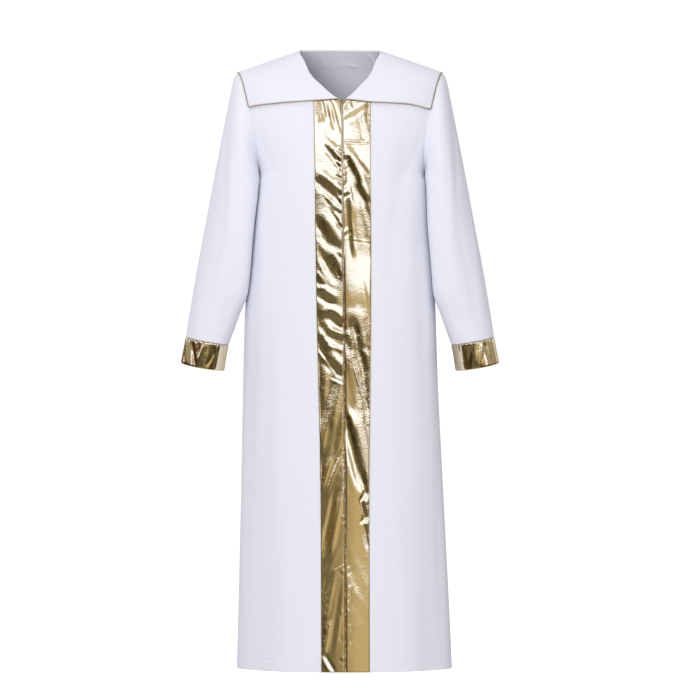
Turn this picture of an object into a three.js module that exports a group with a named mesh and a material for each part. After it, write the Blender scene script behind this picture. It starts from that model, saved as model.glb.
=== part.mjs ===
// A full-length white church robe (cassock or choir robe), standing open and hollow as if worn.
// Two fronts and a back hang from the shoulders, with set-in sleeves, a wide square-cornered
// cape collar edged with gold piping, a gold foil band down each front edge and gold cuffs.
// Millimetres, +Z up. The front faces -Y and the wearer's left is +X. The origin is midway
// between the two neck points of the shoulder seams, where the wearer's shoulders carry the robe.
import * as THREE from "three";

// ---- Driving dimensions ----
const HEM = -1357; // height of the level hem
const NECK = { half: 84, z: -2.4 }; // neck point, at the inner end of each shoulder seam
const SHOULDER = { x: 223, z: -51 }; // shoulder point, at the top of each armhole
const ARMPIT = { x: 183, z: -284 }; // foot of each armhole, at the top of the side seam
const ARMHOLE = { front: 69, back: 69, scoopFront: 14, scoopBack: 8 }; // half depths and inward bows
const NECK_V = -114.5; // point of the V neck
const V_PULL = { x: 64, y: -76, z: -70 }; // pulls the front neckline out, above the V
const NECK_PULL = { x: 101, y: -42, z: -6 }; // pulls it out below the neck point
const BACK_NECK = { y: 60, z: 3 }; // middle of the back neckline
const BACK_COLLAR = -136; // lower edge of the collar at the centre back
const SPINE_PULL = { y: 92, z: -55 }; // pulls the centre back out over the shoulder blades
const BACK_SWEEP = 1.5; // how late the back's rows rise from the centre to the side
const YOKE_SWEEP = 1.4; // how late the back's top edge shapes the rows under it
const BAND_SHARE = 0.16; // share of a front's rise to the side that lies under its band
const FACING_ROWS = 2; // depth of the back neck facing, in rows of the back's yoke
const CLOTH = 1.6; // wall of the robe and sleeves
const FOIL = 1; // wall of the gold bands
const DOUBLE = 2; // wall of the collar and cuffs, two layers sewn together
const SEAM = 0.4; // gap between two pieces at a seam
const OPENING = 1.2; // gap between the two front edges
const BAND_RISE = 0.3; // from a front to the back of its band
// From the robe to the underside of the collar, by row from its lower edge up to the neckline.
const FRONT_COLLAR_RISE = [1.9, 1.8, 1.2, 0.6, 0.4, 0.4, 0.4];
const BACK_COLLAR_RISE = [1.4, 1, 0.6, 0.4, 0.4, 0.4, 0.4];
const ARM_GAP = 0.8; // from the armhole to the sleeve head, along X
const PIPING = { radius: 1.3, sides: 6, lift: 1.2 }; // lift above the middle of the collar's wall
const ZIP = { bottom: -1110, share: 0.6, wall: 1.2, sink: 0.4 }; // share of the first band column

// ---- How finely the panels are divided ----
const BAND_COLS = 3;
const SIDE_COLS = 8;
const COLS = BAND_COLS + SIDE_COLS;
const NECK_COLS = 4; // of the back's columns, those that end on the neckline
const SKIRT_ROWS = 17;
const YOKE_ROWS = 6;
const YOKE_TURN = 72; // degrees down the armhole, from the shoulder point to the collar's corner
const UNDER_TURNS = [90, 108, 126, 144, 162]; // the rest of the armhole, down to the armpit at 180

// Level sections of the robe: half width at the side seam, depth to the front and to the back,
// sideways swing, and the power of the superellipse that each quarter follows.
const BODY = [
  { z: -100, half: 183, front: 97, back: 98, swing: 0, square: 2.35 },
  { z: -200, half: 183, front: 116, back: 112, swing: 0, square: 2.5 },
  { z: -284, half: 183, front: 125, back: 117, swing: 0, square: 2.7 },
  { z: -345, half: 189.5, front: 127.5, back: 117, swing: 0, square: 2.68 },
  { z: -420, half: 196, front: 129, back: 117, swing: 0, square: 2.6 },
  { z: -572, half: 208.5, front: 131, back: 120, swing: 0, square: 2.45 },
  { z: -770, half: 215, front: 135, back: 130, swing: 1.5, square: 2.3 },
  { z: -990, half: 222.5, front: 144, back: 146, swing: 5, square: 2.2 },
  { z: -1210, half: 230.5, front: 155, back: 162, swing: 8, square: 2.15 },
  { z: HEM, half: 236, front: 163, back: 174, swing: 9.5, square: 2.15 },
];

// The front opening: where its two edges meet, and how wide each gold band is.
const FRONT_EDGE = [
  { z: -90, x: 4.5, band: 62 },
  { z: -300, x: 6.5, band: 60.5 },
  { z: -440, x: 7.5, band: 60 },
  { z: -600, x: 9, band: 58.5 },
  { z: -800, x: 10.5, band: 55 },
  { z: -990, x: 11.3, band: 52.5 },
  { z: HEM, x: 12.4, band: 52 },
];

// Soft flutes: place round the body in degrees from the centre front (+ to the wearer's left),
// width, depth at the hem (+ stands out) and the height at which the flute has died away.
const FLUTES = [
  { at: -72, width: 13, depth: 3, top: -520 },
  { at: -50, width: 12, depth: -3.5, top: -430 },
  { at: -30, width: 12, depth: 2.5, top: -600 },
  { at: 34, width: 12, depth: 3, top: -500 },
  { at: 53, width: 12, depth: -3.5, top: -560 },
  { at: 74, width: 12, depth: 3.5, top: -430 },
  { at: -118, width: 13, depth: 6, top: -420 },
  { at: -139, width: 12, depth: -7, top: -380 },
  { at: -159, width: 12, depth: 8, top: -330 },
  { at: 180, width: 12, depth: -8, top: -360 },
  { at: 160, width: 12, depth: 7, top: -400 },
  { at: 140, width: 12, depth: -6, top: -340 },
  { at: 119, width: 13, depth: 6, top: -450 },
];

// Rings of the left sleeve from the armhole to the cuff seam: armpit side, outer side, half depth,
// forward lean (- is forward), how far the inner side is turned ahead, what is left of the
// armhole's bow, and how far the front dips.
const SLEEVE = [
  { inX: 184.3, inZ: -288, outX: 230, outZ: -56, deep: 70, lean: 0, ahead: -5, bow: 0.75, dip: 0 },
  { inX: 185.2, inZ: -294, outX: 235.5, outZ: -71, deep: 71, lean: -1, ahead: -12, bow: 0.45, dip: 0 },
  { inX: 186, inZ: -303, outX: 241, outZ: -97, deep: 72, lean: -2, ahead: -20, bow: 0.2, dip: 0 },
  { inX: 186.5, inZ: -317, outX: 248, outZ: -133, deep: 72, lean: -3, ahead: -27, bow: 0.05, dip: 0 },
  { inX: 187.2, inZ: -335, outX: 256.5, outZ: -177, deep: 71, lean: -5, ahead: -31, bow: 0, dip: 0 },
  { inX: 189.4, inZ: -362, outX: 267, outZ: -231, deep: 69, lean: -7, ahead: -34, bow: 0, dip: 0 },
  { inX: 192.4, inZ: -400, outX: 279.5, outZ: -297, deep: 66, lean: -10, ahead: -35, bow: 0, dip: 0 },
  { inX: 196, inZ: -445, outX: 293, outZ: -371, deep: 63, lean: -13, ahead: -34, bow: 0, dip: 0 },
  { inX: 199.5, inZ: -495, outX: 306.5, outZ: -442, deep: 60, lean: -16, ahead: -32, bow: 0, dip: 0 },
  { inX: 203.5, inZ: -540, outX: 318, outZ: -506, deep: 57, lean: -19, ahead: -28, bow: 0, dip: 1 },
  { inX: 217, inZ: -576, outX: 326, outZ: -554, deep: 54, lean: -21, ahead: -21, bow: 0, dip: 2 },
  { inX: 230.5, inZ: -612, outX: 332.5, outZ: -594, deep: 51, lean: -23, ahead: -14, bow: 0, dip: 3 },
  { inX: 244, inZ: -648, outX: 338, outZ: -631, deep: 48, lean: -25, ahead: -8, bow: 0, dip: 3 },
];

// Rings of the left cuff, from its seam to its open end.
const CUFF = [
  { inX: 244.1, inZ: -648.4, outX: 338.1, outZ: -631.4, deep: 48, lean: -25, ahead: -8, bow: 0, dip: 3 },
  { inX: 249, inZ: -676, outX: 343.5, outZ: -659, deep: 47.5, lean: -26, ahead: -5, bow: 0, dip: 4 },
  { inX: 253.5, inZ: -704, outX: 349, outZ: -687, deep: 47, lean: -27, ahead: -2, bow: 0, dip: 5 },
];

// ---- Small tools ----
const radians = THREE.MathUtils.degToRad;
const lerp = THREE.MathUtils.lerp;
const smooth = (t) => THREE.MathUtils.smoothstep(t, 0, 1);
const point = (x, y, z) => new THREE.Vector3(x, y, z);
const between = (a, b, share) => a.clone().lerp(b, share);
const sweep = (count, make) => Array.from({ length: count + 1 }, (_, i) => make(i));

// The value of one column of a table at height z, on a smooth curve through its rows.
function along(table, column, z) {
  const last = table.length - 1;
  let i = table.findIndex((row) => row.z <= z) - 1;
  if (i < 0) i = z > table[0].z ? 0 : last - 1;
  const [a, b] = [table[i], table[i + 1]];
  const t = THREE.MathUtils.clamp((z - a.z) / (b.z - a.z), 0, 1);
  const slope = (j) => {
    const [p, q] = [table[Math.max(j - 1, 0)], table[Math.min(j + 1, last)]];
    return ((q[column] - p[column]) / (q.z - p.z)) * (b.z - a.z);
  };
  const cubic = a[column] * (1 + 2 * t) * (1 - t) ** 2 + b[column] * t * t * (3 - 2 * t);
  return cubic + slope(i) * t * (1 - t) ** 2 - slope(i + 1) * t * t * (1 - t);
}

// ---- The form of the robe ----
// A point of the armhole, at a turn in degrees from the shoulder point down to the armpit.
function armhole(side, face, turn) {
  const [across, rise] = [Math.sin(radians(turn)), (1 + Math.cos(radians(turn))) / 2];
  const [deep, scoop] =
    face < 0 ? [ARMHOLE.front, ARMHOLE.scoopFront] : [ARMHOLE.back, ARMHOLE.scoopBack];
  const x = lerp(ARMPIT.x, SHOULDER.x, rise) - scoop * across;
  return point(side * x, face * deep * across, lerp(ARMPIT.z, SHOULDER.z, rise));
}

// The turn at which the armhole passes a height.
function armholeTurn(z) {
  const rise = (z - ARMPIT.z) / (SHOULDER.z - ARMPIT.z);
  return THREE.MathUtils.radToDeg(Math.acos(THREE.MathUtils.clamp(2 * rise - 1, -1, 1)));
}

// The section of the robe at a height, in front (face -1) or behind (face 1). Above the armpit
// it is as wide as it takes to pass through the armhole; edge is the angle at which it ends.
function section(face, z) {
  const power = along(BODY, "square", z);
  const deep = along(BODY, face < 0 ? "front" : "back", z);
  const swing = along(BODY, "swing", z);
  if (z <= ARMPIT.z) return { half: along(BODY, "half", z), deep, swing, power, edge: Math.PI / 2 };
  const arm = armhole(1, face, armholeTurn(z));
  const half = arm.x / (1 - (Math.abs(arm.y) / deep) ** power) ** (1 / power);
  return { half, deep, swing, power, edge: Math.asin((arm.x / half) ** (power / 2)) };
}

// How far the flutes stand out at an angle round the body and a height.
function flute(angle, z) {
  let sum = 0;
  for (const { at, width, depth, top } of FLUTES) {
    const off = THREE.MathUtils.euclideanModulo(angle - at + 180, 360) - 180;
    sum += depth * Math.exp(-((off / width) ** 2)) * smooth((top - z) / (top - HEM));
  }
  return sum;
}

// The angle of a column: even steps to the side, drawn in near a piece's edge above the armpit.
function spread(from, edge, share) {
  const drawn = Math.PI / 2 - edge;
  const power = Math.min(5, radians(65) / Math.max(drawn, 1e-6));
  return from + (Math.PI / 2 - from) * share - drawn * share ** power;
}

// A point of the robe at an angle (radians from the centre front or back, + to the wearer's left).
function bodyPoint(face, angle, z) {
  const { half, deep, swing, power } = section(face, z);
  const [across, ahead] = [Math.sin(angle), Math.abs(Math.cos(angle))];
  const x = Math.sign(across) * Math.abs(across) ** (2 / power);
  const y = face * ahead ** (2 / power);
  const out = point(
    (Math.sign(x) * Math.abs(x) ** (power - 1)) / half,
    (face * Math.abs(y) ** (power - 1)) / deep,
    0,
  ).normalize();
  const round = THREE.MathUtils.radToDeg(face < 0 ? angle : Math.PI - angle);
  return point(swing + x * half, y * deep, z).addScaledVector(out, flute(round, z));
}

// The angle at which a front's section passes a distance x from the robe's middle.
function angleAt(x, z) {
  const { half, swing, power } = section(-1, z);
  const share = (x - swing) / half;
  return Math.sign(share) * Math.asin(Math.abs(share) ** (power / 2));
}

// ---- Rows of points, from the hem up ----
const skirtHeights = sweep(SKIRT_ROWS, (i) => lerp(HEM, ARMPIT.z, i / SKIRT_ROWS));
const armHeights = [...UNDER_TURNS].reverse().concat(YOKE_TURN);
const sideHeights = skirtHeights.concat(armHeights.map((turn) => armhole(1, -1, turn).z));
const COLLAR_ROW = sideHeights.length - 1;
const cornerZ = sideHeights[COLLAR_ROW];

// Height of a row at the centre, where the collar's edge runs higher or lower than at its corner.
const centreHeight = (z, atCollar) => HEM + ((z - HEM) * (atCollar - HEM)) / (cornerZ - HEM);

// A front's point: the first columns lie under the band, the others run on to the side.
function frontPoint(side, col, zSide) {
  const band = Math.min(col / BAND_COLS, 1);
  const rest = Math.max(col - BAND_COLS, 0) / SIDE_COLS;
  const z = lerp(centreHeight(zSide, NECK_V), zSide, lerp(BAND_SHARE * band, 1, rest));
  const edge = along(FRONT_EDGE, "x", z) + (side * OPENING) / 2;
  const angle = side * angleAt(edge + side * band * along(FRONT_EDGE, "band", z), z);
  const made = bodyPoint(-1, side * spread(angle, section(-1, z).edge, rest), z);
  if (col === COLS && z <= ARMPIT.z) made.y = -SEAM / 2;
  return made;
}

// The neckline from the point of the V, at 0, to the neck point, at 1.
function neckline(side, t) {
  const start = frontPoint(side, 0, cornerZ);
  const curve = new THREE.CubicBezierCurve3(
    start,
    point(side * V_PULL.x, V_PULL.y, V_PULL.z),
    point(side * NECK_PULL.x, NECK_PULL.y, NECK_PULL.z),
    point(side * NECK.half, -SEAM / 2, NECK.z),
  );
  return curve.getPoint(t);
}

// The rows of a front, from the hem to the shoulder seam.
function frontRows(side) {
  const rows = sideHeights.map((z) => sweep(COLS, (col) => frontPoint(side, col, z)));
  const low = rows[COLLAR_ROW];
  const shares = low.map((p) => (p.x - low[0].x) / (low[COLS].x - low[0].x));
  for (let i = 1; i <= YOKE_ROWS; i++) {
    const t = i / YOKE_ROWS;
    const [neck, arm] = [neckline(side, t), armhole(side, -1, YOKE_TURN * (1 - t))];
    if (i === YOKE_ROWS) arm.y = -SEAM / 2;
    rows.push(
      shares.map((share, col) => {
        const bulge = low[col].clone().sub(between(low[0], low[COLS], share));
        return between(neck, arm, share).addScaledVector(bulge, Math.cos((t * Math.PI) / 2));
      }),
    );
  }
  return rows;
}

// One half of the back's point, by column from the centre back to the side.
function backPoint(side, col, zSide) {
  const share = col / COLS;
  const z = lerp(centreHeight(zSide, BACK_COLLAR), zSide, share ** BACK_SWEEP);
  const made = bodyPoint(1, side * spread(0, section(1, z).edge, share), z);
  if (col === COLS && z <= ARMPIT.z) made.y = SEAM / 2;
  return made;
}

// The back's top edge: half of the neckline, then the shoulder seam.
function backTop(side, col) {
  const shoulder = point(side * SHOULDER.x, SEAM / 2, SHOULDER.z);
  const neck = point(side * NECK.half, SEAM / 2, NECK.z);
  if (col >= NECK_COLS) return between(neck, shoulder, (col - NECK_COLS) / (COLS - NECK_COLS));
  const turn = ((col / NECK_COLS) * Math.PI) / 2;
  const [x, y] = [NECK.half * Math.sin(turn), SEAM / 2 + BACK_NECK.y * Math.cos(turn)];
  return point(side * x, y, lerp(NECK.z, BACK_NECK.z, Math.cos(turn)));
}

// Half of the back, from the hem to the neckline and shoulder seam.
function halfBackRows(side) {
  const rows = sideHeights.map((z) => sweep(COLS, (col) => backPoint(side, col, z)));
  const low = rows[COLLAR_ROW];
  const top = sweep(COLS, (col) => backTop(side, col));
  const pull = point(low[0].x, SPINE_PULL.y, SPINE_PULL.z);
  const spine = new THREE.QuadraticBezierCurve3(low[0], pull, top[0]);
  for (let i = 1; i <= YOKE_ROWS; i++) {
    const t = i / YOKE_ROWS;
    const [middle, arm] = [spine.getPoint(t), armhole(side, 1, YOKE_TURN * (1 - t))];
    if (i === YOKE_ROWS) arm.y = SEAM / 2;
    const lift = Math.cos((t * Math.PI) / 2);
    rows.push(
      low.map((p, col) => {
        const share = smooth(col / COLS);
        const fromLow = p.clone().sub(between(low[0], low[COLS], share));
        const fromTop = top[col].clone().sub(between(top[0], top[COLS], share));
        return between(middle, arm, share)
          .addScaledVector(fromLow, lift)
          .addScaledVector(fromTop, (1 - lift) ** YOKE_SWEEP);
      }),
    );
  }
  return rows;
}

// The whole back: the wearer's right half, turned round, and then the left.
function backRows() {
  const [right, left] = [halfBackRows(-1), halfBackRows(1)];
  return left.map((row, i) => right[i].slice(1).reverse().concat(row));
}

// A closed ring round a sleeve: down the front from its outer side, and up the back.
function sleeveRing(side, row) {
  const front = [...sweep(YOKE_ROWS, (i) => (YOKE_TURN * i) / YOKE_ROWS), ...UNDER_TURNS, 180];
  const back = front.slice(1, -1).reverse();
  const made = (turn, face) => {
    const [across, rise] = [Math.sin(radians(turn)), (1 + Math.cos(radians(turn))) / 2];
    const scoop = row.bow * (face < 0 ? ARMHOLE.scoopFront : ARMHOLE.scoopBack);
    return point(
      side * (lerp(row.inX, row.outX, rise) - scoop * across),
      row.lean + face * row.deep * across + row.ahead * (1 - rise),
      lerp(row.inZ, row.outZ, rise) + face * row.dip * across,
    );
  };
  return front.map((turn) => made(turn, -1)).concat(back.map((turn) => made(turn, 1)));
}

// The sleeve's first ring follows the armhole's own points, just clear of them.
function sleeveHead(side) {
  const front = sweep(YOKE_ROWS, (i) => (YOKE_TURN * i) / YOKE_ROWS).concat(UNDER_TURNS, 180);
  const back = front.slice(1, -1).reverse();
  const made = front.map((turn) => armhole(side, -1, turn));
  return made
    .concat(back.map((turn) => armhole(side, 1, turn)))
    .map((p) => p.add(point(side * ARM_GAP, 0, 0)));
}

// ---- Sheets of cloth ----
// Joins rows of points into a sheet: its points, its triangles and a unit normal at each point.
// Open rows are cloth panels; closed rows are tubes. Turned sheets have their faces reversed.
function sheet(rows, { closed = false, turned = false } = {}) {
  const width = rows[0].length;
  const points = rows.flat().map((p) => p.clone());
  const triangles = [];
  for (let j = 0; j + 1 < rows.length; j++) {
    for (let i = 0; i < (closed ? width : width - 1); i++) {
      const next = (i + 1) % width;
      const [a, b] = [j * width + i, j * width + next];
      const [c, d] = [a + width, b + width];
      const corners = points[a].distanceTo(points[d]) < points[b].distanceTo(points[c]);
      const pair = corners ? [[a, b, d], [a, d, c]] : [[a, b, c], [b, d, c]];
      triangles.push(...pair.map(([p, q, r]) => (turned ? [p, r, q] : [p, q, r])));
    }
  }
  const normals = points.map(() => point(0, 0, 0));
  for (const [p, q, r] of triangles) {
    const edge = points[q].clone().sub(points[p]);
    const face = edge.cross(points[r].clone().sub(points[p]));
    for (const corner of [p, q, r]) normals[corner].add(face);
  }
  normals.forEach((n) => n.normalize());
  return { points, triangles, normals, width };
}

// Takes one axis out of a normal, so that the wall there ends square on a seam in that plane.
function square(normal, axis) {
  normal[axis] = 0;
  normal.normalize();
}

// Part of a sheet: some of its rows and columns, with the normals of the whole.
function patch(whole, rows, cols) {
  const kept = [];
  for (let j = rows[0]; j <= rows[1]; j++) {
    for (let i = cols[0]; i <= cols[1]; i++) kept.push(j * whole.width + i);
  }
  const place = new Map(kept.map((old, now) => [old, now]));
  const inside = whole.triangles.filter((t) => t.every((corner) => place.has(corner)));
  return {
    points: kept.map((i) => whole.points[i].clone()),
    normals: kept.map((i) => whole.normals[i].clone()),
    triangles: inside.map((t) => t.map((corner) => place.get(corner))),
    width: cols[1] - cols[0] + 1,
  };
}

// A sheet moved out along its normals, by a different distance for each row.
function raised(cloth, rises) {
  const points = cloth.points.map((p, i) => {
    return p.clone().addScaledVector(cloth.normals[i], rises[Math.floor(i / cloth.width)]);
  });
  return { ...cloth, points };
}

// A closed wall on a sheet, from one distance along its normals to a greater one.
function wall(cloth, from, to) {
  const count = cloth.points.length;
  const moved = (distance) =>
    cloth.points.map((p, i) => p.clone().addScaledVector(cloth.normals[i], distance));
  const used = new Set(cloth.triangles.flatMap(([a, b, c]) => [`${a},${b}`, `${b},${c}`, `${c},${a}`]));
  const index = [];
  for (const [a, b, c] of cloth.triangles) {
    index.push(a, b, c, c + count, b + count, a + count);
    for (const [p, q] of [[a, b], [b, c], [c, a]]) {
      if (!used.has(`${q},${p}`)) index.push(q, p, p + count, q, p + count, q + count);
    }
  }
  const positions = [...moved(to), ...moved(from)].flatMap((p) => p.toArray());
  const geometry = new THREE.BufferGeometry();
  geometry.setAttribute("position", new THREE.Float32BufferAttribute(positions, 3));
  geometry.setIndex(index);
  geometry.computeVertexNormals();
  return geometry;
}

// ---- Materials ----
const paint = (color, roughness, metalness) =>
  new THREE.MeshStandardMaterial({ color, roughness, metalness });
const white = paint(0xe4e5ee, 0.75, 0);
const gold = paint(0xd9bd7a, 0.28, 0.9);
const cord = paint(0xc2a878, 0.55, 0.3);
const tape = paint(0xb9b3ad, 0.6, 0);

const robe = new THREE.Group();

function sew(name, geometry, material) {
  const mesh = new THREE.Mesh(geometry, material);
  mesh.name = name;
  robe.add(mesh);
}

// ---- Fronts, bands and the front half of the collar ----
const sides = [
  { side: -1, word: "right" },
  { side: 1, word: "left" },
];
const topRow = COLLAR_ROW + YOKE_ROWS;
const fronts = new Map();
const flaps = new Map();

for (const { side, word } of sides) {
  const front = sheet(frontRows(side), { turned: side < 0 });
  front.normals.forEach((normal, i) => {
    const [row, col] = [Math.floor(i / front.width), i % front.width];
    if (row === topRow || (col === COLS && row <= SKIRT_ROWS)) square(normal, "y");
    if (col === 0 && row <= COLLAR_ROW) square(normal, "x");
  });
  fronts.set(side, front);
  sew(`front_${word}`, wall(front, -CLOTH, 0), white);
  const band = patch(front, [0, COLLAR_ROW + 1], [0, BAND_COLS]);
  sew(`gold_band_${word}`, wall(band, BAND_RISE, BAND_RISE + FOIL), gold);
  const flap = raised(patch(front, [COLLAR_ROW, topRow], [0, COLS]), FRONT_COLLAR_RISE);
  flaps.set(side, flap);
  sew(`collar_front_${word}`, wall(flap, 0, DOUBLE), white);
}

// ---- Back, back neck facing and the back of the collar ----
const back = sheet(backRows(), { turned: true });
back.normals.forEach((normal, i) => {
  const [row, col] = [Math.floor(i / back.width), Math.abs((i % back.width) - COLS)];
  if ((row === topRow && col > NECK_COLS) || (col === COLS && row <= SKIRT_ROWS)) square(normal, "y");
});
for (const col of [COLS - NECK_COLS, COLS + NECK_COLS]) square(back.normals[topRow * back.width + col], "y");
sew("back", wall(back, -CLOTH, 0), white);
const cape = raised(patch(back, [COLLAR_ROW, topRow], [0, 2 * COLS]), BACK_COLLAR_RISE);
sew("collar_back", wall(cape, 0, DOUBLE), white);
const faced = patch(back, [topRow - FACING_ROWS, topRow], [COLS - NECK_COLS, COLS + NECK_COLS]);
sew("back_neck_facing", wall(faced, -CLOTH - SEAM - FOIL, -CLOTH - SEAM), white);

// ---- Sleeves and cuffs ----
for (const { side, word } of sides) {
  const rings = [sleeveHead(side), ...SLEEVE.map((row) => sleeveRing(side, row))];
  const sleeve = sheet(rings, { closed: true, turned: side < 0 });
  // The sleeve head's wall ends flat against the armhole, so its edge faces along X.
  for (let i = 0; i < sleeve.width; i++) {
    const after = sleeve.points[(i + 1) % sleeve.width];
    const before = sleeve.points[(i + sleeve.width - 1) % sleeve.width];
    const run = after.clone().sub(before);
    sleeve.normals[i].set(0, run.z, -run.y).normalize();
  }
  sew(`sleeve_${word}`, wall(sleeve, -CLOTH, 0), white);
  const cuff = sheet(CUFF.map((row) => sleeveRing(side, row)), { closed: true, turned: side < 0 });
  sew(`gold_cuff_${word}`, wall(cuff, -DOUBLE, 0), gold);
}

// ---- Piping round the collar's outer edge ----
// The edge of the collar as points of a sheet: along a row or a column.
const edgeOf = (cloth, places) =>
  places.map(([row, col]) => {
    const i = row * cloth.width + col;
    return { at: cloth.points[i], up: cloth.normals[i] };
  });
const steps = (from, to) => sweep(Math.abs(to - from), (i) => from + i * Math.sign(to - from));
const lowerEdge = (from, to) => steps(from, to).map((col) => [0, col]);
const sideEdge = (col, from, to) => steps(from, to).map((row) => [row, col]);

const pipingEdge = [
  ...edgeOf(flaps.get(-1), lowerEdge(0, COLS)),
  ...edgeOf(flaps.get(-1), sideEdge(COLS, 1, YOKE_ROWS)),
  ...edgeOf(cape, sideEdge(0, YOKE_ROWS - 1, 0)),
  ...edgeOf(cape, lowerEdge(1, 2 * COLS)),
  ...edgeOf(cape, sideEdge(2 * COLS, 1, YOKE_ROWS - 1)),
  ...edgeOf(flaps.get(1), sideEdge(COLS, YOKE_ROWS, 0)),
  ...edgeOf(flaps.get(1), lowerEdge(COLS - 1, 0)),
];

// A closed cord beside an edge, centred on the collar's wall and clear of it.
function pipingRows(edge) {
  const reach = PIPING.radius + SEAM;
  return edge.map(({ at, up }, i) => {
    const into = at.clone().sub(edge[Math.max(i - 1, 0)].at).normalize();
    const on = edge[Math.min(i + 1, edge.length - 1)].at.clone().sub(at).normalize();
    const run = into.clone().add(on).normalize();
    const bend = Math.max(run.dot(i ? into : on), 0.6);
    const away = up.clone().cross(run).normalize();
    const rise = run.clone().cross(away);
    const centre = at
      .clone()
      .addScaledVector(up, DOUBLE / 2 + PIPING.lift)
      .addScaledVector(away, reach / bend);
    return sweep(PIPING.sides - 1, (k) => {
      const turn = ((k + 0.5) * 2 * Math.PI) / PIPING.sides;
      return centre
        .clone()
        .addScaledVector(away, (Math.cos(turn) * PIPING.radius) / bend)
        .addScaledVector(rise, Math.sin(turn) * PIPING.radius);
    });
  });
}

// A solid cord through rings of points, closed with a flat fan at each end.
function rope(rings) {
  const tube = sheet(rings, { closed: true });
  const [count, last] = [tube.width, tube.points.length - tube.width];
  const index = tube.triangles.flat();
  for (let k = 1; k + 1 < count; k++) {
    index.push(0, k + 1, k, last, last + k, last + k + 1);
  }
  const geometry = new THREE.BufferGeometry();
  const positions = tube.points.flatMap((p) => p.toArray());
  geometry.setAttribute("position", new THREE.Float32BufferAttribute(positions, 3));
  geometry.setIndex(index);
  geometry.computeVertexNormals();
  return geometry;
}

sew("collar_piping", rope(pipingRows(pipingEdge)), cord);

// ---- Concealed zip behind the front edges ----
// Its tape spans the opening on the backs of the two fronts, from the V down.
const zipRows = [];
for (let row = 0; row <= COLLAR_ROW; row++) {
  if (fronts.get(1).points[row * (COLS + 1)].z < ZIP.bottom) continue;
  zipRows.push(
    [-1, 0, 1].map((side) => {
      const pick = (which, col) => fronts.get(which).points[row * (COLS + 1) + col];
      if (side) return between(pick(side, 0), pick(side, 1), ZIP.share);
      return between(pick(-1, 0), pick(1, 0), 0.5);
    }),
  );
}
const zip = sheet(zipRows);
sew("front_zip", wall(zip, -CLOTH - ZIP.sink - ZIP.wall, -CLOTH - ZIP.sink), tape);

export default robe;
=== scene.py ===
import bpy
import numpy as np
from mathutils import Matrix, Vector


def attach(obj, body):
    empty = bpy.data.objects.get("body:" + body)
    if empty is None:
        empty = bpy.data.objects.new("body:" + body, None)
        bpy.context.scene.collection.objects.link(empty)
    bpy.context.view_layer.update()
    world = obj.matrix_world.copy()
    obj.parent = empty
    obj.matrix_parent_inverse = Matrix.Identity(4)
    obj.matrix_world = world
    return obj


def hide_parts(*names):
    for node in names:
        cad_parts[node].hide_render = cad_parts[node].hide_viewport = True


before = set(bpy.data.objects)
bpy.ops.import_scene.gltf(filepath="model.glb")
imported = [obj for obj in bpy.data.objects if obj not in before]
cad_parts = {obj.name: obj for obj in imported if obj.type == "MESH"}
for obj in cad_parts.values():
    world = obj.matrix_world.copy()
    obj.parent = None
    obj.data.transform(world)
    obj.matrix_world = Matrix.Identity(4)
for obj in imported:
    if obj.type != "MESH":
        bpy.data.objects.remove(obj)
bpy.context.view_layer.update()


# ---- Studio: a level camera far off, a pale floor and soft light ----
# The camera stands 9 m away at the height of the robe's middle. A white surround lights the
# cloth evenly and four large lamps model it. The foil mirrors a bright ceiling over a warm floor.
MM = 0.001
CAMERA = {"x": 22, "z": -660, "away": 9000, "seen_width": 1540, "sensor": 36, "clip_end": 100}
FLOOR = {"z": -1500, "radius": 30000, "sides": 96, "color": (0.9, 0.9, 0.9), "glow": 0.6}
SURROUND = {"even": 0.5, "seen": 1.05}
LAMPS_AIM = (0, 0, -600)


def rows_of(names, *rows):
    """The rows of a table as dictionaries, by the names of its columns."""
    return [dict(zip(names.split(), row)) for row in rows]


LAMPS = rows_of(
    "name x y z wide power",
    ("key", -1500, -5600, 300, 3200, 168),
    ("fill", 4200, -2600, 0, 2600, 40),
    ("top", -1000, -1100, 2200, 1500, 17),
    ("behind", -3400, 3900, 900, 2200, 62),
)
# What the foil mirrors, by the rise of the line of sight from straight down (-1) to up (1).
MIRRORED = rows_of(
    "rise color",
    (-0.8, (0.5, 0.42, 0.26)),
    (-0.6, (0.3, 0.25, 0.15)),
    (-0.45, (0.1, 0.088, 0.056)),
    (-0.38, (0.21, 0.185, 0.115)),
    (-0.31, (0.1, 0.088, 0.056)),
    (-0.25, (0.21, 0.185, 0.115)),
    (-0.19, (0.105, 0.092, 0.06)),
    (-0.14, (0.17, 0.15, 0.095)),
    (-0.1, (0.12, 0.105, 0.066)),
    (-0.07, (0.49, 0.4, 0.228)),
    (0.09, (0.52, 0.43, 0.24)),
    (0.102, (1.12, 1.24, 1.58)),
    (0.4, (1.2, 1.34, 1.75)),
    (0.435, (0.56, 0.49, 0.38)),
    (0.6, (0.7, 0.62, 0.5)),
)
# The mirrored horizon is higher over the wearer's right than over the left, with a step at the
# middle: how much is added to the rise on each side.
STEP = {"half": 0.06, "right": -0.06, "left": 0.012}
# Panels at the sides: the tint of the surround by how far it lies to one side (0 to 1).
SIDES = rows_of(
    "reach tint",
    (0.36, (1, 1, 1)),
    (0.46, (0.42, 0.34, 0.22)),
    (0.72, (0.48, 0.4, 0.28)),
    (0.76, (1, 1, 1)),
    (0.84, (1, 1, 1)),
    (0.88, (0.3, 0.24, 0.14)),
)
# The floor's tones are darker towards the wearer's right than the left: the gain over a stretch
# across, which sets in below one stretch of the rise and above another.
GAIN = {"across": (-0.14, 0.12), "gain": (0.34, 1.06), "below": (0.13, 0.1), "above": (-0.1, -0.07)}

scene = bpy.context.scene
scene.view_settings.view_transform = "Standard"


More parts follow.
